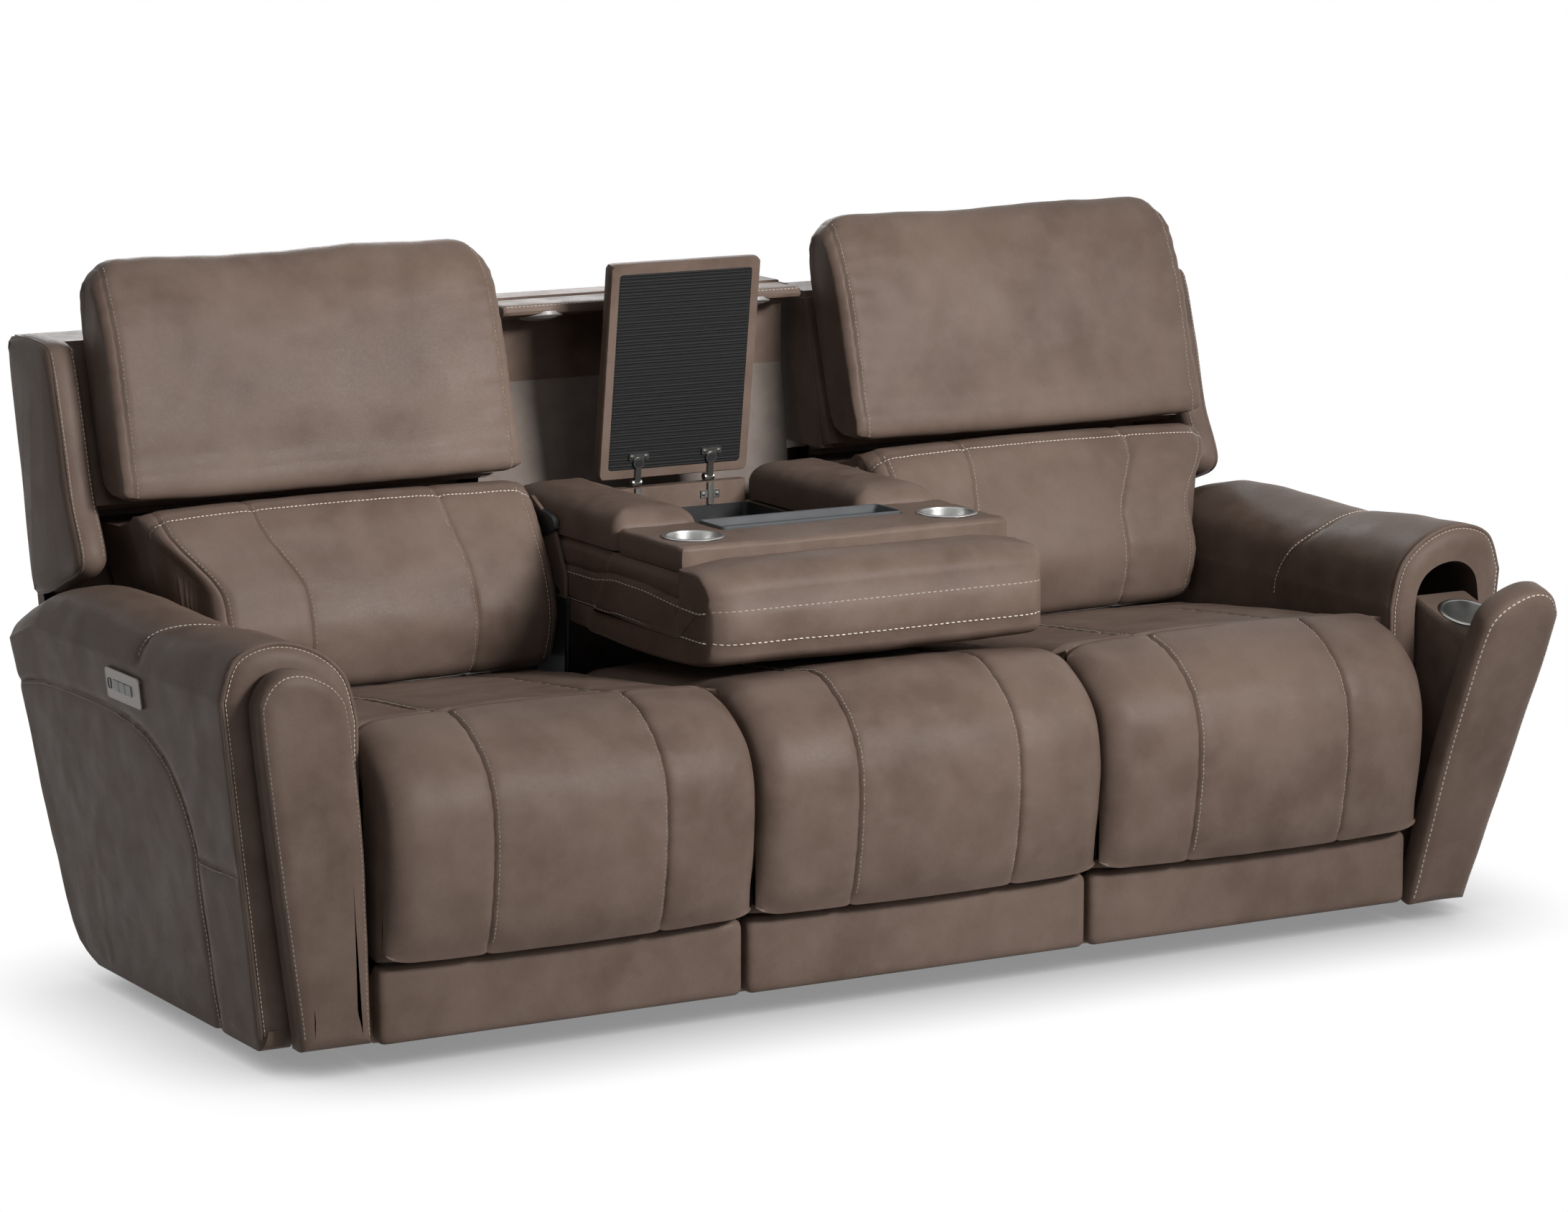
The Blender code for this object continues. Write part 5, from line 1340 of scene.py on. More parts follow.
# How far the console's side is drawn in at its top and at its foot, from which height and over how much
TUB_TOP_EDGE = (0.006, 0.618, 0.014)
TUB_FOOT_EDGE = (0.003, 0.545, 0.009)
BIN = (0.134, 0.432, 0.768)
BIN_FLOOR = 0.556
BIN_WALL = ((-0.133, BIN[2] + 0.0004), (0.133, TUB[1] - 0.002))
BIN_WALL_TOP = 0.6694
BAND_HEIGHT = 0.050
BAND_SPAN = (0.128, 0.705)
BAND_CREASE = 0.010
BAND_STITCH = 1.3
SIDE_BAND = (
    (0.107, 0.587),
    (0.154, 0.581),
    (0.228, 0.583),
    (0.317, 0.590),
    (0.420, 0.592),
    (0.470, 0.585),
    (0.492, 0.581),
    (0.700, 0.579),
)
CONSOLE_NOSE = 0.100
CONSOLE_CORNER = 0.052
PILLOW_END = 0.503
PILLOW_SLANT = 0.60
PILLOW_OUT = 0.0070
PILLOW_RISE = 0.008
PILLOW_CREASE = 0.024
PUFF_ACROSS = 0.28
PUFF_FROM = 0.585
PUFF_HEIGHT = 0.050
CONSOLE_PIVOT = (0.600, 0.550)
PIN_RADIUS = 0.0068
PIN_REACH = (0.280, 0.2972)
LATCH_REACH = (0.2903, 0.2975, 0.2992)
BRACKET_REACH = (0.2905, 0.2965)
LATCH = (
    (0.690, 0.667),
    (0.640, 0.667),
    (0.614, 0.661),
    (0.606, 0.650),
    (0.613, 0.640),
    (0.676, 0.622),
    (0.690, 0.624),
)
BRACKET_TOP = (
    (0.580, 0.540),
    (0.580, 0.575),
    (0.618, 0.650),
    (0.690, 0.686),
    (0.704, 0.684),
    (0.712, 0.668),
    (0.658, 0.560),
    (0.660, 0.540),
)
BRACKET_STEM = (
    (0.575, 0.1304),
    (0.690, 0.1304),
    (0.672, 0.420),
    (0.660, 0.5396),
    (0.573, 0.5396),
    (0.572, 0.530),
    (0.580, 0.420),
)
LID_HINGE_X = 0.066
LID_HINGE = (0.774, 0.677)
LID_OPEN = math.radians(-82)


def soft_block(low, high, corner, reach, rise, seed, sewing):
    """A padded block with round corners in plan, whose sides curve over by a reach and a rise to its top."""
    rings = []
    heights = [(low[2], reach * 0.2), (low[2] + 0.003, 0.0), ((low[2] + high[2] - rise) / 2, -0.0006)]
    for i in range(13):
        a = math.pi / 2 * i / 12
        heights.append((high[2] - rise * (1 - math.sin(a)), reach * (1 - math.cos(a))))
    for z, inset in heights:
        inner = [low[k] + inset for k in (0, 1)], [high[k] - inset for k in (0, 1)]
        outline = straight_closed(rounded(*inner, max(corner - inset, 0.003)), 160)
        soft = min(max((z - low[2]) / (high[2] - low[2]), 0.0), 1.0)
        ring = []
        for x, y in outline:
            ripple = waves((x, y, z), 16.0, seed) + 0.6 * waves((x, y, z), 45.0, seed)
            ring.append(place(x, y, z + sewing.wrinkle * ripple * soft))
        rings.append(ring)
    return loft(rings)


def straight_closed(points, count):
    """A closed outline's points, spread evenly to a fixed count."""
    loop = [*points, points[0]]
    lengths = arc_lengths(loop)
    result = []
    i = 0
    for k in range(count):
        goal = lengths[-1] * k / count
        while lengths[i + 1] < goal:
            i += 1
        share = (goal - lengths[i]) / max(lengths[i + 1] - lengths[i], 1e-9)
        result.append(tuple(a + (b - a) * share for a, b in zip(loop[i], loop[i + 1])))
    return result


def slab_prism(outline, low, high):
    """An upright prism of an (x, depth) outline."""
    return loft([[place(x, y, z) for x, y in outline] for z in (low, high)])


def cup_wells(low):
    """Upright cutters for the two console cups, from a height up."""
    centres = [(side * CUP_PLACE[0], CUP_PLACE[1]) for side in (-1, 1)]
    return [slab_prism(circle(centre, CUP_WELL_RADIUS, 48), low, CUT_TOP) for centre in centres]


def build_console(sewing):
    """The fold-down console: its cushion, top slab, arm pads, bin, cups and tray."""
    build_console_cushion(sewing)
    shape = soft_block(*SLAB, 0.012, 0.009, 0.009, 52, sewing)
    slab = piece("console_slab_leather", shape, "leather", "console", ("console_slab",))
    cut(slab, [*cup_wells(CUP_WELL_LOW), slab_prism(rounded(*TRAY, 0.004), TRAY_FLOOR, CUT_TOP)])
    for name, side in SIDES:
        inner, outer = sorted(side * x for x in ARM_PAD_X)
        low, high = (inner, *ARM_PAD_LOW), (outer, *ARM_PAD_HIGH)
        pad = soft_block(low, high, 0.022, 0.056, 0.036, 54 + side, sewing)
        piece(f"{name}_console_pad_leather", pad, "leather", "console", (f"{name}_console_pad",))
        cup = cup_shape((side * CUP_PLACE[0], CUP_PLACE[1]), CUP_TOP)
        piece(f"{name}_cup_spun", cup, "cup", "console", (f"{name}_cup",))
    build_tub(sewing)
    build_brackets()
    build_console_bands(sewing)
    build_console_pins()
    build_tray()


def build_console_cushion(sewing):
    """The console's plump cushion, with two seams across its front."""
    front = smooth_curve(CONSOLE_FRONT, PROFILE_STEP, closed=False)
    profile = front[:-1] + straight((front[-1], *CUSHION_BACK, front[0]), PROFILE_STEP)
    tip = [i for i in range(len(front)) if front[i][0] < CUSHION_TIP]
    creases = [min(tip, key=lambda i: abs(front[i][1] - z)) for z in CUSHION_SEAMS]
    seams = tuple(zip(creases, (1, -1)))

    def widen(point):
        """Rounds the cushion's front corners, stands its sides out and puffs its top."""
        x, depth = cushion_place(point.x, point.y - FRONT_Y, point.z)
        inward = smooth_share((1.0 - abs(point.x) / CONSOLE_HALF) / PUFF_ACROSS)
        puff = inward * smooth_share((point.z - PUFF_FROM) / PUFF_HEIGHT)
        return place(x, depth, point.z + PILLOW_RISE * puff)

    sewn_pad(
        "console_cushion_leather",
        profile,
        (),
        0.0,
        CONSOLE_HALF,
        "console",
        ("console_cushion",),
        sewing,
        stitches=(),
        seams=seams,
        bold=BAND_STITCH,
        groove=0.0065,
        bend=widen,
        edge=0.020,
        draw=0.008,
        crown=0.003,
        seed=50,
    )


def smooth_share(value):
    """A value held between 0 and 1 and eased at both ends."""
    held = min(max(value, 0.0), 1.0)
    return held * held * (3 - 2 * held)


def pillow_step(depth, z):
    """How much further out the console's sides stand in front of their slanted crease."""
    end = PILLOW_END - PILLOW_SLANT * (z - TUB_LOW)
    return PILLOW_OUT * smooth_share((end - depth) / PILLOW_CREASE)


def cushion_place(x, depth, z):
    """A place's (x, depth) on the console's cushion, with its corners rounded and its sides stood out."""
    x, ahead = round_corner(x, -depth, CONSOLE_HALF, -CONSOLE_NOSE, CONSOLE_CORNER)
    return x * (1 + pillow_step(-ahead, z) / CONSOLE_HALF), -ahead


def tub_inset(depth, z, sewing):
    """How far the console's side is drawn in at a place, by the crease above its thread and its edges."""
    crease = line_value(SIDE_BAND, depth) + BAND_CREASE
    pull = 0.7 * sewing.groove_depth * math.exp(-abs(z - crease) / 0.005)
    most, start, reach = TUB_TOP_EDGE
    pull += most * smooth_share((z - start) / reach)
    most, start, reach = TUB_FOOT_EDGE
    pull += most * smooth_share((start - z) / reach)
    return pull + 0.5 * sewing.wrinkle * (1 + waves((depth, z, 0.0), 20.0, 57))


def build_tub(sewing):
    """The body of the console: padded leather sides with a sewn band, a dark bin and the wall behind it."""
    plan = rounded((-CONSOLE_HALF, TUB[0]), (CONSOLE_HALF, TUB[1]), TUB_CORNER)
    outline = straight_closed(plan, TUB_POINTS)
    rings = []
    for level in range(TUB_LEVELS + 1):
        z = TUB_LOW + (TUB_HIGH - TUB_LOW) * level / TUB_LEVELS
        ring = []
        for x, depth in drawn_in(outline, [tub_inset(depth, z, sewing) for x, depth in outline]):
            ring.append(place(x + pillow_step(depth, z) * x / CONSOLE_HALF, depth, z))
        rings.append(ring)
    obj = piece("console_body_leather", loft(rings), "leather", "console", ("console_tub",))
    room = slab_prism(rounded((-BIN[0], BIN[1]), (BIN[0], BIN[2]), 0.010), BIN_FLOOR, CUT_TOP)
    cut(obj, [room, *cup_wells(TUB_WELL_LOW)])
    obj.data.materials.append(finish("black"))
    for face in obj.data.polygons:
        x, y, z = face.center
        inside = abs(x) < BIN[0] + 0.0005 and BIN[1] - 0.0005 < y - FRONT_Y < BIN[2] + 0.0005
        face.material_index = 1 if inside and z > BIN_FLOOR - 0.0005 else 0
    wall = slab_prism(rounded(*BIN_WALL, 0.004), TUB_HIGH, BIN_WALL_TOP)
    piece("bin_rear_wall", wall, "leather", "console")


def build_brackets():
    """The brackets that carry the console on each side, with their covers and the latches over them."""
    for name, side in SIDES:
        outline = smooth_curve(LATCH, 0.005)
        latch = [[place(side * x, y, z) for y, z in outline] for x in LATCH_REACH]
        piece(f"{name}_console_latch", loft(latch), "black", "base")
        reach = [side * x for x in BRACKET_REACH]
        piece(f"{name}_bracket_cover", across_x(BRACKET_TOP, *reach), "leather", "base")
        stem = across_x(BRACKET_STEM, *reach)
        piece(f"{name}_bracket_stem", stem, "black", "base", (f"{name}_console_bracket",))


def build_console_bands(sewing):
    """The two rows of thread along each side of the console."""
    threads = bmesh.new()
    for side in (-1, 1):
        for drop in (0.0, BAND_HEIGHT):
            path = []
            for i in range(61):
                depth = BAND_SPAN[0] + (BAND_SPAN[1] - BAND_SPAN[0]) * i / 60
                z = max(line_value(SIDE_BAND, depth) - drop, TUB_LOW + 0.003)
                out = CONSOLE_HALF + pillow_step(depth, z) - tub_inset(depth, z, sewing)
                if depth < TUB[0]:
                    out, depth = cushion_place(CONSOLE_HALF, depth, z)
                path.append(place(side * out, depth, z))
            outward = [Vector((side, 0.0, 0.0))] * len(path)
            add_to(threads, stitch_row(path, outward, sewing, BAND_STITCH))
    piece("console_band_thread", threads, "thread", "console")


def build_console_pins():
    """The pins that the console folds on."""
    pins = bmesh.new()
    for side in (-1, 1):
        outline = circle(CONSOLE_PIVOT, PIN_RADIUS, 24)
        add_to(pins, loft([[place(side * x, y, z) for y, z in outline] for x in PIN_REACH]))
    piece("console_pins", pins, "steel", "console")


TRAY_SECTION = (
    (0.6590, 0.0010),
    (0.6735, 0.0),
    (0.6752, 0.0004),
    (0.6760, 0.0014),
    (0.6758, 0.0026),
    (0.6748, 0.0036),
    (0.6640, 0.0058),
    (0.6622, 0.0082),
)


def build_tray():
    """A shallow moulded tray with a raised, rounded rim."""
    low, high = TRAY
    rings = []
    for z, inset in TRAY_SECTION:
        corner = max(0.009 - inset / 2, 0.004)
        outline = rounded([v + inset for v in low], [v - inset for v in high], corner)
        rings.append([place(x, y, z) for x, y in outline])
    piece("tray_moulding", loft(rings), "tray", "console", ("tray",))


LID = ((-0.135, 0.414, 0.6735), (0.135, 0.7665, 0.699))
LID_INSET = ((-0.119, 0.430), (0.119, 0.7505))
INSET_GAP = 0.0004
INSET_FACE = 0.6742
INSET_CORNER = 0.006
RIB_COUNT = 92
RIB_SPAN = (0.4325, 0.7480)
RIB_HALF = 0.1165
RIB_RADIUS = 0.0011


def build_lid(sewing):
    """The console lid, which stands open: a leather frame round a ribbed inset, on two nickel hinges."""
    turn = turned_about(LID_HINGE, LID_OPEN)
    panel = soft_block(*LID, 0.008, 0.009, 0.008, 60, sewing)
    obj = piece("lid_leather", panel, "leather", "lid", ("lid_panel",))
    low, high = LID_INSET
    recess = rounded([v - INSET_GAP for v in low], [v + INSET_GAP for v in high], INSET_CORNER)
    cut(obj, [slab_prism(recess, 0.660, INSET_FACE + 0.0012)])
    obj.data.transform(turn)
    ribs = slab_prism(rounded(low, high, INSET_CORNER), INSET_FACE, INSET_FACE + 0.0008)
    for i in range(RIB_COUNT):
        depth = RIB_SPAN[0] + (RIB_SPAN[1] - RIB_SPAN[0]) * i / (RIB_COUNT - 1)
        add_to(ribs, tube([place(x, depth, INSET_FACE) for x in (-RIB_HALF, 0.0, RIB_HALF)], RIB_RADIUS, 6))
    bmesh.ops.transform(ribs, matrix=turn, verts=ribs.verts)
    piece("lid_ribbed_inset", ribs, "inset", "lid", ("lid_inset",))
    for name, side in SIDES:
        build_lid_hinge(name, side * LID_HINGE_X, turn)


HINGE_BAR_HALF = 0.0175
HINGE_ARM_HALF = 0.0048
HINGE_STRIP_HALF = 0.0050
HINGE_CUP_DEPTH = 0.7400
HINGE_SCREWS = (-0.0125, 0.0125)
HINGE_SCREW_DEPTH = 0.7292
HINGE_BARREL_REACH = (-0.0085, 0.0085)
HINGE_BARREL_RADIUS = 0.0062
WALL_PLATE_THICK = 0.0022
WALL_PLATE_MIDDLE = 0.650


def screw_head(centre, z, facing=-1):
    """A small domed screw head whose seat is at a height."""
    steps = ((0.0, 0.0), (0.0032, 0.0), (0.0034, 0.0005), (0.0027, 0.0014), (0.0, 0.0019))
    return revolve([(radius, z + facing * rise) for radius, rise in steps], centre, 16)


def hinge_plate(x, half, depths, heights, corner):
    """A flat plate of a hinge, about a place across."""
    return slab_prism(rounded((x - half, depths[0]), (x + half, depths[1]), corner), *heights)


def build_lid_hinge(name, x, turn):
    """A sprung hinge: a cross bar, cup and arm under the lid, and a plate on the wall of the bin."""
    leaf = hinge_plate(x, HINGE_BAR_HALF, (0.7240, 0.7345), (0.6706, 0.6731), 0.0015)
    add_to(leaf, slab_prism(circle((x, HINGE_CUP_DEPTH), 0.0095), 0.6700, 0.6729))
    add_to(leaf, hinge_plate(x, HINGE_ARM_HALF, (0.7440, 0.7720), (0.6696, 0.6727), 0.0015))
    for shift in HINGE_SCREWS:
        add_to(leaf, screw_head((x + shift, HINGE_SCREW_DEPTH), 0.6706))
    barrel = circle(LID_HINGE, HINGE_BARREL_RADIUS, 24)
    add_to(leaf, loft([[place(x + reach, y, z) for y, z in barrel] for reach in HINGE_BARREL_REACH]))
    bmesh.ops.transform(leaf, matrix=turn, verts=leaf.verts)
    piece(f"{name}_lid_hinge_nickel", leaf, "nickel", "lid", (f"{name}_lid_hinge",))
    cup = slab_prism(circle((x, HINGE_CUP_DEPTH), 0.0066), 0.6694, 0.6701)
    bmesh.ops.transform(cup, matrix=turn, verts=cup.verts)
    piece(f"{name}_lid_hinge_cup", cup, "black", "lid")
    front = BIN[2]
    face = front - WALL_PLATE_THICK
    strip = hinge_plate(x, HINGE_STRIP_HALF, (front - 0.0040, front), (0.6330, 0.6690), 0.0010)
    add_to(strip, hinge_plate(x, HINGE_BAR_HALF, (face, front), (0.6440, 0.6560), 0.0008))
    upright = turned_about((face, WALL_PLATE_MIDDLE), math.radians(90))
    for shift in HINGE_SCREWS:
        head = screw_head((x + shift, face), WALL_PLATE_MIDDLE, 1)
        bmesh.ops.transform(head, matrix=upright, verts=head.verts)
        add_to(strip, head)
    piece(f"{name}_lid_hinge_plate", strip, "nickel", "console")


WALL_STRIP_FOOT = 0.832
WALL_STRIP = (
    (0.9215, WALL_STRIP_FOOT),
    (0.9215, 0.955),
    (0.930, 0.9664),
    (0.988, 0.9664),
    (1.003, 0.961),
    (1.0070, 0.925),
    (shell_rear(WALL_STRIP_FOOT) + 0.0006, WALL_STRIP_FOOT),
)
WALL_STRIP_HALF = 0.2856
WALL_STRIP_ROUND = 0.003
WALL_STRIP_MIDDLE = 0.14
HOOD_PROFILE = (
    (0.827, 0.956, 1.0),
    (0.831, 0.964, 1.0),
    (0.846, 0.9665, 1.0),
    (0.875, 0.966, 1.0),
    (0.905, 0.965, 0.8),
    (0.917, 0.949, 0.3),
    (0.911, 0.9355, 0.3),
    (0.902, 0.9335, 0.0),
    (0.880, 0.9385, 0.0),
    (0.840, 0.9475, 0.0),
    (0.830, 0.9505, 1.0),
)
HOOD_HALF = 0.271
HOOD_SEAM = 0.960
LAMP_X = 0.1897
LAMP_PLACE = (0.860, 0.9430)
LAMP_TILT = math.radians(-12.7)
LAMP_PROFILE = (
    (0.0, 0.004),
    (0.0345, 0.004),
    (0.0345, -0.0016),
    (0.0335, -0.0026),
    (0.0300, -0.0036),
    (0.0288, -0.0026),
    (0.0276, -0.0026),
    (0.0262, -0.0044),
    (0.0215, -0.0056),
    (0.0205, -0.0044),
    (0.0190, -0.0044),
    (0.0178, -0.0062),
    (0.0100, -0.0074),
    (0.0, -0.0076),
)


def build_wall():
    """The leather strip along the top of the wall behind the console."""
    outline = straight([*WALL_STRIP, WALL_STRIP[0]], 0.012)
    inner = WALL_STRIP_HALF - WALL_STRIP_ROUND
    halves = (WALL_STRIP_MIDDLE, inner, WALL_STRIP_HALF)
    rings = []
    for x in (*(-half for half in reversed(halves)), 0.0, *halves):
        inset = max(abs(x) - inner, 0.0)
        rings.append([place(x, y, z) for y, z in drawn_in(outline, [inset] * len(outline))])
    piece("wall_leather_strip", loft(rings), "leather", "base")


def build_hood(sewing):
    """The light hood and the two lamps under it."""
    profile = smooth_curve(HOOD_PROFILE, 0.006)
    front = nearest([depth + abs(z - HOOD_SEAM) for depth, z, soft in profile], 0.0)
    sewn_pad(
        "hood_leather",
        profile,
        (),
        0.0,
        HOOD_HALF,
        "hood",
        ("hood",),
        sewing,
        stitches=(),
        seams=((front, 1),),
        edge=0.010,
        draw=0.004,
        crown=0.0,
        groove=0.0015,
        wrinkle=0.25,
        seed=70,
    )
    profile = [(radius, LAMP_PLACE[1] + rise) for radius, rise in LAMP_PROFILE]
    for name, side in SIDES:
        lamp = revolve(profile, (side * LAMP_X, LAMP_PLACE[0]), 48)
        bmesh.ops.transform(lamp, matrix=turned_about(LAMP_PLACE, LAMP_TILT), verts=lamp.verts)
        piece(f"{name}_puck_light", lamp, "lamp", "hood", (f"{name}_light",))


# Distances out from the middle of a control plate, with how far the outline is drawn in there
PLATE_BEVEL = ((0.0015, 0.0), (0.0027, 0.0006), (0.0029, 0.0016), (0.0024, 0.0028))
PORT_RIM = ((0.0018, 0.0), (0.0033, 0.0), (0.0036, 0.0005), (0.0036, 0.0012), (0.0022, 0.0015))
PLATE = ((-0.062, -0.023), (0.062, 0.023))
PORT = ((0.042, -0.008), (0.054, 0.008))
PLATE_CORNER = 0.006
PORT_CORNER = 0.0025


def raised_rings(section, corners, radius, side, tilt):
    """Rings of a raised outline on a control plate."""
    low, high = corners
    rings = []
    for out, inset in section:
        outline = rounded([v + inset for v in low], [v - inset for v in high], radius)
        rings.append([tilt @ Vector((side * out, y, z)) for y, z in outline])
    return rings


def build_controls():
    """The bevel round each control plate, and a charging port beside its keys."""
    for name, side in SIDES:
        low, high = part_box(f"{name}_control_plate")
        middle = [(a + b) / 2 for a, b in zip(low, high)]
        tilt = Matrix.Translation(middle) @ Matrix.Rotation(side * math.atan(ARM_SLOPE), 4, "Y")
        bevel = bmesh.new()
        rings = raised_rings(PLATE_BEVEL, PLATE, PLATE_CORNER, side, tilt)
        for ring, following in zip(rings, rings[1:]):
            add_to(bevel, band(ring, following))
        piece(f"{name}_plate_bevel", bevel, "gunmetal", "base")
        port = loft(raised_rings(PORT_RIM, PORT, PORT_CORNER, side, tilt))
        piece(f"{name}_charging_port", port, "black", "base")


def band(ring, following):
    """An open strip of faces between two rings."""
    shape = bmesh.new()
    first = [shape.verts.new(point) for point in ring]
    second = [shape.verts.new(point) for point in following]
    for i in range(len(ring)):
        j = (i + 1) % len(ring)
        shape.faces.new((first[i], first[j], second[j], second[i]))
    return shape


KICK_HALF = 0.296
KICK_LOW = 0.035
KICK_TOP = 0.151
KICK_CORNER = 0.012
KICK_POINTS = 220
# Depths of a kick panel's padded face, with how far its outline is drawn in there
KICK_EDGE = (
    (-0.0006, 0.030),
    (-0.0004, 0.016),
    (0.0004, 0.0095),
    (0.0022, 0.0050),
    (0.0060, 0.0015),
    (0.0110, 0.0),
    (0.0252, 0.0),
)
# Plan and heights of the black dust cover, which also serves as painted shade under the sofa
DUST_COVER_SHADE = ((-0.885, 0.030), (0.885, 0.695))
DUST_COVER_SHADE_HEIGHTS = (0.0362, 0.0376)


def build_base(sewing):
    """The kick panels, better finishes on the solids that stay, and a black dust cover under the base, which
    also serves as painted shade under the sofa.
    """
    for name, centre in (("left", -SEAT_X), ("centre", 0.0), ("right", SEAT_X)):
        rings = []
        for depth, inset in KICK_EDGE:
            low = (centre - KICK_HALF + inset, KICK_LOW + inset)
            high = (centre + KICK_HALF - inset, KICK_TOP - inset)
            outline = straight_closed(rounded(low, high, max(KICK_CORNER - inset / 2, 0.003)), KICK_POINTS)
            ripple = [sewing.wrinkle * 0.5 * waves((x, depth, z), 9.0, 80) for x, z in outline]
            rings.append([place(x, depth + lift, z) for (x, z), lift in zip(outline, ripple)])
        piece(f"{name}_kick_leather", loft(rings), "leather", "base", (f"{name}_kick_panel",))
    looks = {slot: look for look, slot in reversed(SLOTS.items())}
    for node in frame["record"]["subparts"]:
        obj = frame["nodes"][node["node"]]
        obj.data.materials.clear()
        obj.data.materials.append(finish(looks[node["material_slot"]]))
    # A black dust cover under the base, which is also painted shade: it hides the white floor under the sofa,
    # where shade falls
    cover = slab_prism(rounded(*DUST_COVER_SHADE, 0.01), *DUST_COVER_SHADE_HEIGHTS)
    piece("dust_cover", cover, "black", "base")


def colour_property(name, description, default):
    """A setting for a colour."""
    return bpy.props.FloatVectorProperty(
        name=name, description=description, default=default, subtype="COLOR", min=0.0, max=1.0
    )


def length_property(name, description, default):
    """A setting for a small length."""
    return bpy.props.FloatProperty(
        name=name, description=description, default=default, unit="LENGTH", precision=4
    )


def power_property(name, description, default):
    """A setting for the power of a light."""
    return bpy.props.FloatProperty(name=name, description=description, default=default, unit="POWER")


def share_property(name, description, default):
    """A setting between 0 and 1."""
    return bpy.props.FloatProperty(
        name=name, description=description, default=default, subtype="FACTOR", min=0.0, max=1.0
    )


class SofaLooks(bpy.types.PropertyGroup):
    """Colours of the leather and its thread."""

    leather_colour: colour_property("Leather", "Main colour of the leather", (0.150, 0.107, 0.085))
    leather_dark: colour_property("Leather shade", "Darker clouds in the leather", (0.104, 0.071, 0.055))
    leather_warm: colour_property("Leather patches", "Lighter worn patches", (0.178, 0.131, 0.108))
    thread_colour: colour_property("Thread", "Colour of the sewing thread", (0.66, 0.58, 0.49))


class SofaSewing(bpy.types.PropertyGroup):
    """Sizes of the stitches and the folds that they draw."""

    stitch_length: length_property("Stitch length", "Length of one stitch", 0.0058)
    stitch_gap: length_property("Stitch gap", "Gap between two stitches", 0.0012)
    stitch_width: length_property("Stitch width", "Thickness of the thread", 0.0019)
    groove_depth: length_property("Seam depth", "How deep a sewn channel draws in the leather", 0.0075)
    wrinkle: length_property("Wrinkle", "How far the leather wanders from its smooth shape", 0.0016)


class SofaStage(bpy.types.PropertyGroup):
    """The studio round the sofa."""

    key_power: power_property("Key light", "Power of the front light", 28.0)
    sheen_power: power_property("Sheen light", "Power of the high light", 38.0)
    fill_power: power_property("Fill light", "Power of the left light", 20.0)
    rear_power: power_property("Rear light", "Power of the light behind", 75.0)
    sky: share_property("Sky", "Strength of the even light all round", 0.09)
    floor_tone: share_property("Floor", "Brightness of the floor", 0.50)
    shadow: share_property("Shadow", "Tone of the darkest floor shadow", 0.26)


# Place, target, width and height, and spread in degrees of each studio light
STUDIO_LIGHTS = {
    "key": ((0.3, -5.2, 2.0), (0.0, -0.1, 0.4), (3.4, 2.4), 180.0),
    "sheen": ((1.75, -4.8, 3.05), (-0.15, 0.3, 0.98), (1.8, 0.8), 50.0),
    "fill": ((-2.6, -3.2, 4.2), (0.2, 0.0, 0.5), (1.8, 1.8), 180.0),
    "rear": ((1.3, 4.6, 2.6), (0.0, 0.0, 0.4), (2.4, 1.6), 180.0),
}
WHITE = (1.0, 1.0, 1.0, 1.0)
BLACK = (0.0, 0.0, 0.0, 1.0)


def studio_light(name, power):
    """One of the soft lights, turned to its target."""
    location, target, size, spread = STUDIO_LIGHTS[name]
    data = bpy.data.lights.new(name, "AREA")
    data.energy = power
    data.shape = "RECTANGLE"
    data.size, data.size_y = size
    data.spread = math.radians(spread)
    lamp = bpy.data.objects.new(name, data)
    lamp.location = location
    lamp.rotation_euler = (Vector(target) - Vector(location)).to_track_quat("-Z", "Y").to_euler()
    bpy.context.scene.collection.objects.link(lamp)


def white_to_camera(tree, shown, lit):
    """Joins two shaders: the camera, mirrors and glass see the first, and all else sees the second."""
    shown, lit = Value(tree, shown), Value(tree, lit)
    camera, glossy, through = [
        lit.node("ShaderNodeLightPath", {}, f"Is {kind} Ray") for kind in ("Camera", "Glossy", "Transmission")
    ]
    seen = camera.math("MAXIMUM", glossy).math("MAXIMUM", through)
    return seen.node("ShaderNodeMixShader", {"Fac": seen, 1: lit, 2: shown}).socket


def build_camera():
    """The camera at the place that the photograph was taken from."""
    scene = bpy.context.scene
    data = bpy.data.cameras.new("camera")
    data.sensor_fit = "HORIZONTAL"
    data.sensor_width = 36.0
    data.lens = FOCAL_PIXELS / IMAGE_WIDTH * data.sensor_width
    data.clip_end = 100.0
    camera = bpy.data.objects.new("camera", data)
    camera.location = place(*CAMERA_PLACE)
    camera.rotation_euler = (math.pi / 2 - CAMERA_PITCH, 0.0, -CAMERA_YAW)
    scene.collection.objects.link(camera)
    scene.camera = camera


def build_stage(settings):
    """The camera, soft studio lights, a white surround and a floor that keeps the shadow."""
    scene = bpy.context.scene
    scene.view_settings.view_transform = "Standard"
    build_camera()
    for name in STUDIO_LIGHTS:
        studio_light(name, getattr(settings, f"{name}_power"))
    world = bpy.data.worlds.new("surround")
    scene.world = world
    world.use_nodes = True
    tree = world.node_tree
    lit = tree.nodes["Background"]
    lit.inputs["Color"].default_value = WHITE
    lit.inputs["Strength"].default_value = settings.sky
    shown = tree.nodes.new("ShaderNodeBackground")
    shown.inputs["Color"].default_value = WHITE
    joined = white_to_camera(tree, shown.outputs[0], lit.outputs[0])
    tree.links.new(joined, tree.nodes["World Output"].inputs["Surface"])
    build_floor(settings)


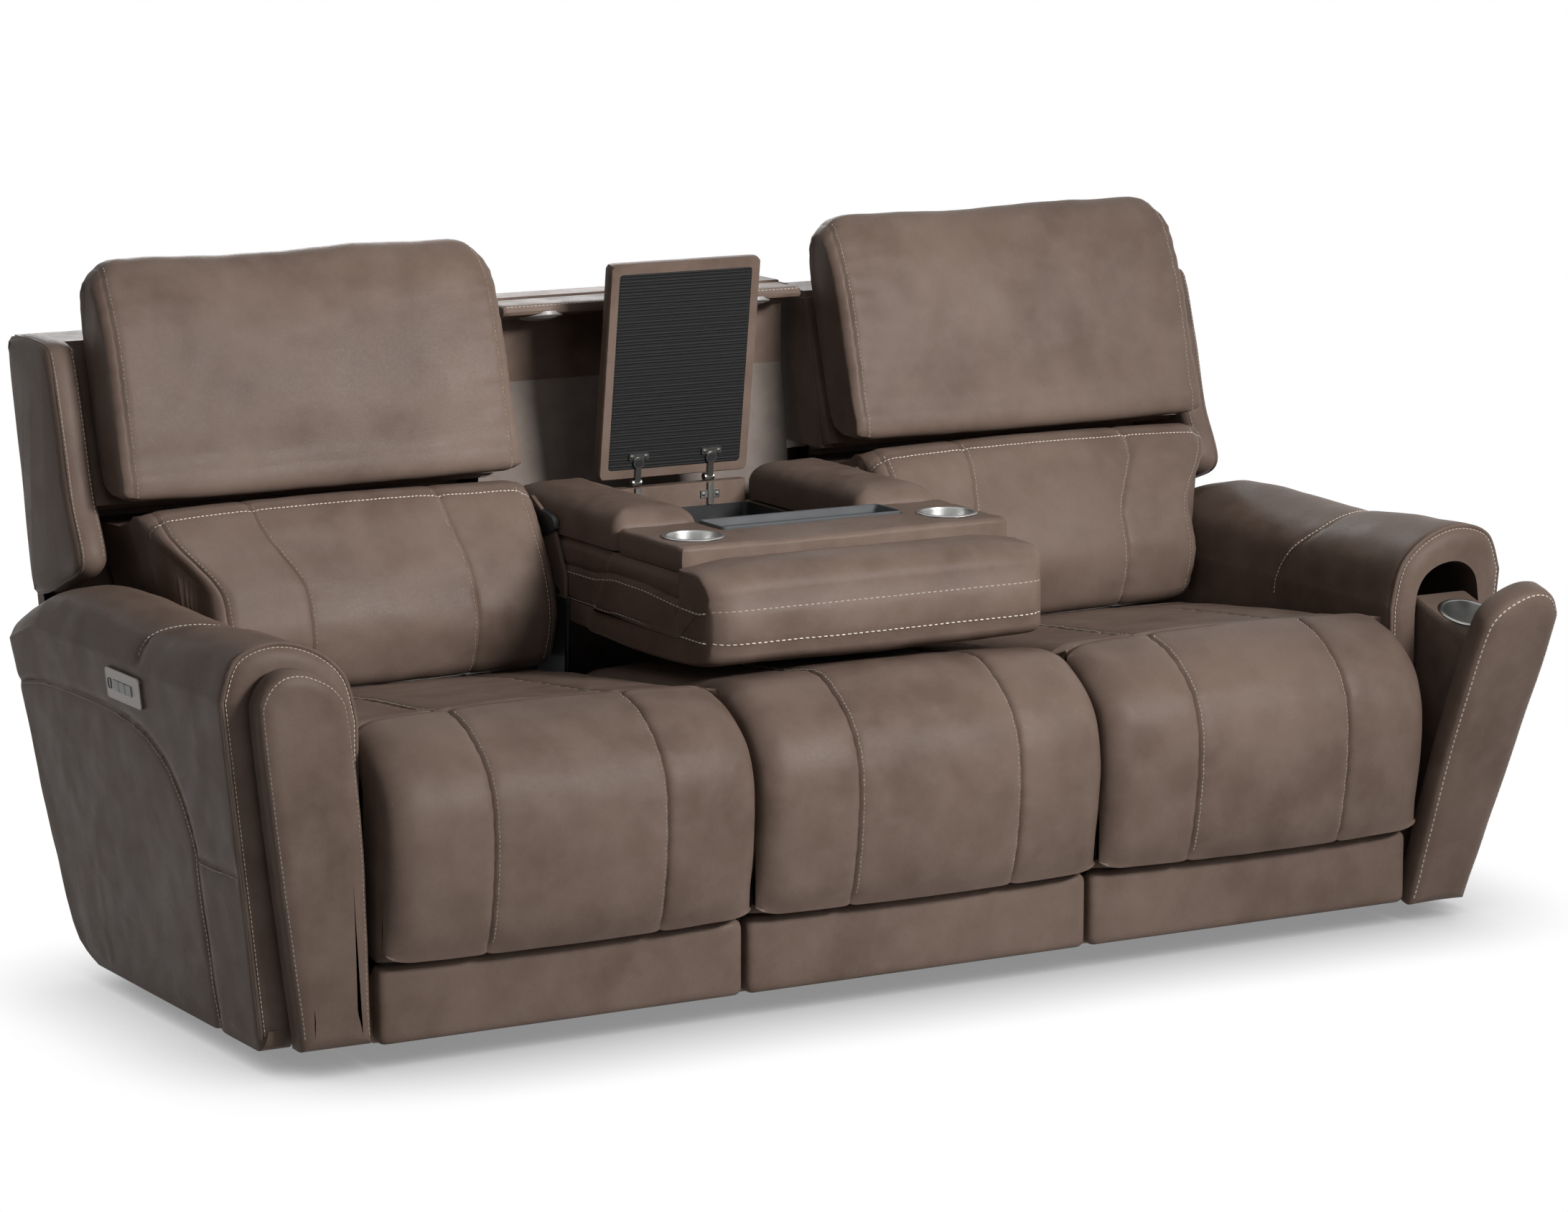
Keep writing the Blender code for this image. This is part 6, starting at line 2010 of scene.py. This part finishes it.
def build_floor(settings):
    """A wide pale floor, white to the camera away from the sofa's shadow."""
    mesh = bpy.data.meshes.new("floor")
    shape = bmesh.new()
    bmesh.ops.create_grid(shape, x_segments=2, y_segments=2, size=30.0)
    shape.to_mesh(mesh)
    shape.free()
    floor = bpy.data.objects.new("floor", mesh)
    bpy.context.scene.collection.objects.link(floor)
    material, lit, point = new_material("floor")
    tree = material.node_tree
    set_inputs(material, lit, Base_Color=(*[settings.floor_tone] * 3, 1.0), Roughness=0.9)
    shown = tree.nodes.new("ShaderNodeBsdfPrincipled")
    openness = point.node("ShaderNodeAmbientOcclusion", {"Distance": SHADOW_REACH}, "AO", samples=16)
    tone = openness.between(0.10, 0.92).mix((*[settings.shadow] * 3, 1.0), WHITE)
    set_inputs(material, shown, Base_Color=BLACK, Specular_IOR_Level=0.0)
    set_inputs(material, shown, Emission_Color=tone, Emission_Strength=1.0)
    joined = white_to_camera(tree, shown.outputs[0], lit.outputs[0])
    tree.links.new(joined, tree.nodes["Material Output"].inputs["Surface"])
    mesh.materials.append(material)


class SOFA_OT_finishes(bpy.types.Operator):
    """Make the leather, thread, metal and plastic finishes"""

    bl_idname = "sofa.finishes"
    bl_label = "Finishes"

    def execute(self, context):
        make_palette(context.scene.sofa_looks)
        return {"FINISHED"}


class SOFA_OT_base(bpy.types.Operator):
    """Dress the base with its kick panels and give the frame its finishes"""

    bl_idname = "sofa.base"
    bl_label = "Base"

    def execute(self, context):
        build_base(context.scene.sofa_sewing)
        return {"FINISHED"}


class SOFA_OT_seats(bpy.types.Operator):
    """Sew the seat cushions and the footrest pads"""

    bl_idname = "sofa.seats"
    bl_label = "Seats"

    def execute(self, context):
        build_seats(context.scene.sofa_sewing)
        return {"FINISHED"}


class SOFA_OT_backs(bpy.types.Operator):
    """Sew the backs, their lumbar cushions and headrests"""

    bl_idname = "sofa.backs"
    bl_label = "Backs"

    def execute(self, context):
        for name, side in SIDES:
            build_shell(name, side, context.scene.sofa_sewing)
            build_lumbar(name, side, context.scene.sofa_sewing)
            build_headrest(name, side, context.scene.sofa_sewing)
        return {"FINISHED"}


class SOFA_OT_arms(bpy.types.Operator):
    """Sew the arms and their front pods"""

    bl_idname = "sofa.arms"
    bl_label = "Arms and Pods"

    def execute(self, context):
        for name, side in SIDES:
            build_arm(name, side, context.scene.sofa_sewing)
            build_pod(name, side, context.scene.sofa_sewing)
        return {"FINISHED"}


class SOFA_OT_console(bpy.types.Operator):
    """Dress the console with its cushion, pads, cups, tray and lid"""

    bl_idname = "sofa.console"
    bl_label = "Console"

    def execute(self, context):
        build_console(context.scene.sofa_sewing)
        build_lid(context.scene.sofa_sewing)
        return {"FINISHED"}


class SOFA_OT_wall(bpy.types.Operator):
    """Dress the wall behind the console and its light hood"""

    bl_idname = "sofa.wall"
    bl_label = "Wall and Hood"

    def execute(self, context):
        build_wall()
        build_hood(context.scene.sofa_sewing)
        return {"FINISHED"}


class SOFA_OT_controls(bpy.types.Operator):
    """Finish the control plates on the outer faces of the arms"""

    bl_idname = "sofa.controls"
    bl_label = "Controls"

    def execute(self, context):
        build_controls()
        return {"FINISHED"}


class SOFA_OT_stage(bpy.types.Operator):
    """Set up the camera, the lights and the floor"""

    bl_idname = "sofa.stage"
    bl_label = "Stage"

    def execute(self, context):
        build_stage(context.scene.sofa_stage)
        return {"FINISHED"}


OPERATORS = (
    SOFA_OT_finishes,
    SOFA_OT_base,
    SOFA_OT_seats,
    SOFA_OT_backs,
    SOFA_OT_arms,
    SOFA_OT_console,
    SOFA_OT_wall,
    SOFA_OT_controls,
    SOFA_OT_stage,
)


class SOFA_PT_panel(bpy.types.Panel):
    """Lists the sofa's settings and the operators that build it"""

    bl_label = "Reclining Sofa"
    bl_space_type = "VIEW_3D"
    bl_region_type = "UI"
    bl_category = "Sofa"

    def draw(self, context):
        for group in (context.scene.sofa_looks, context.scene.sofa_sewing, context.scene.sofa_stage):
            for name in group.bl_rna.properties.keys():
                if name not in ("rna_type", "name"):
                    self.layout.prop(group, name)
        for operator in OPERATORS:
            self.layout.operator(operator.bl_idname)


GROUPS = {"sofa_looks": SofaLooks, "sofa_sewing": SofaSewing, "sofa_stage": SofaStage}


def register():
    """Adds the settings, operators and panel to Blender."""
    for cls in (*GROUPS.values(), *OPERATORS, SOFA_PT_panel):
        bpy.utils.register_class(cls)
    for name, group in GROUPS.items():
        setattr(bpy.types.Scene, name, bpy.props.PointerProperty(type=group))


def unregister():
    """Takes the settings, operators and panel out again."""
    for name in GROUPS:
        delattr(bpy.types.Scene, name)
    for cls in (SOFA_PT_panel, *reversed(OPERATORS), *GROUPS.values()):
        bpy.utils.unregister_class(cls)


def main():
    """Builds the sofa and its stage."""
    register()
    for operator in OPERATORS:
        getattr(bpy.ops.sofa, operator.bl_idname.split(".")[1])()


if __name__ == "__main__":
    main()
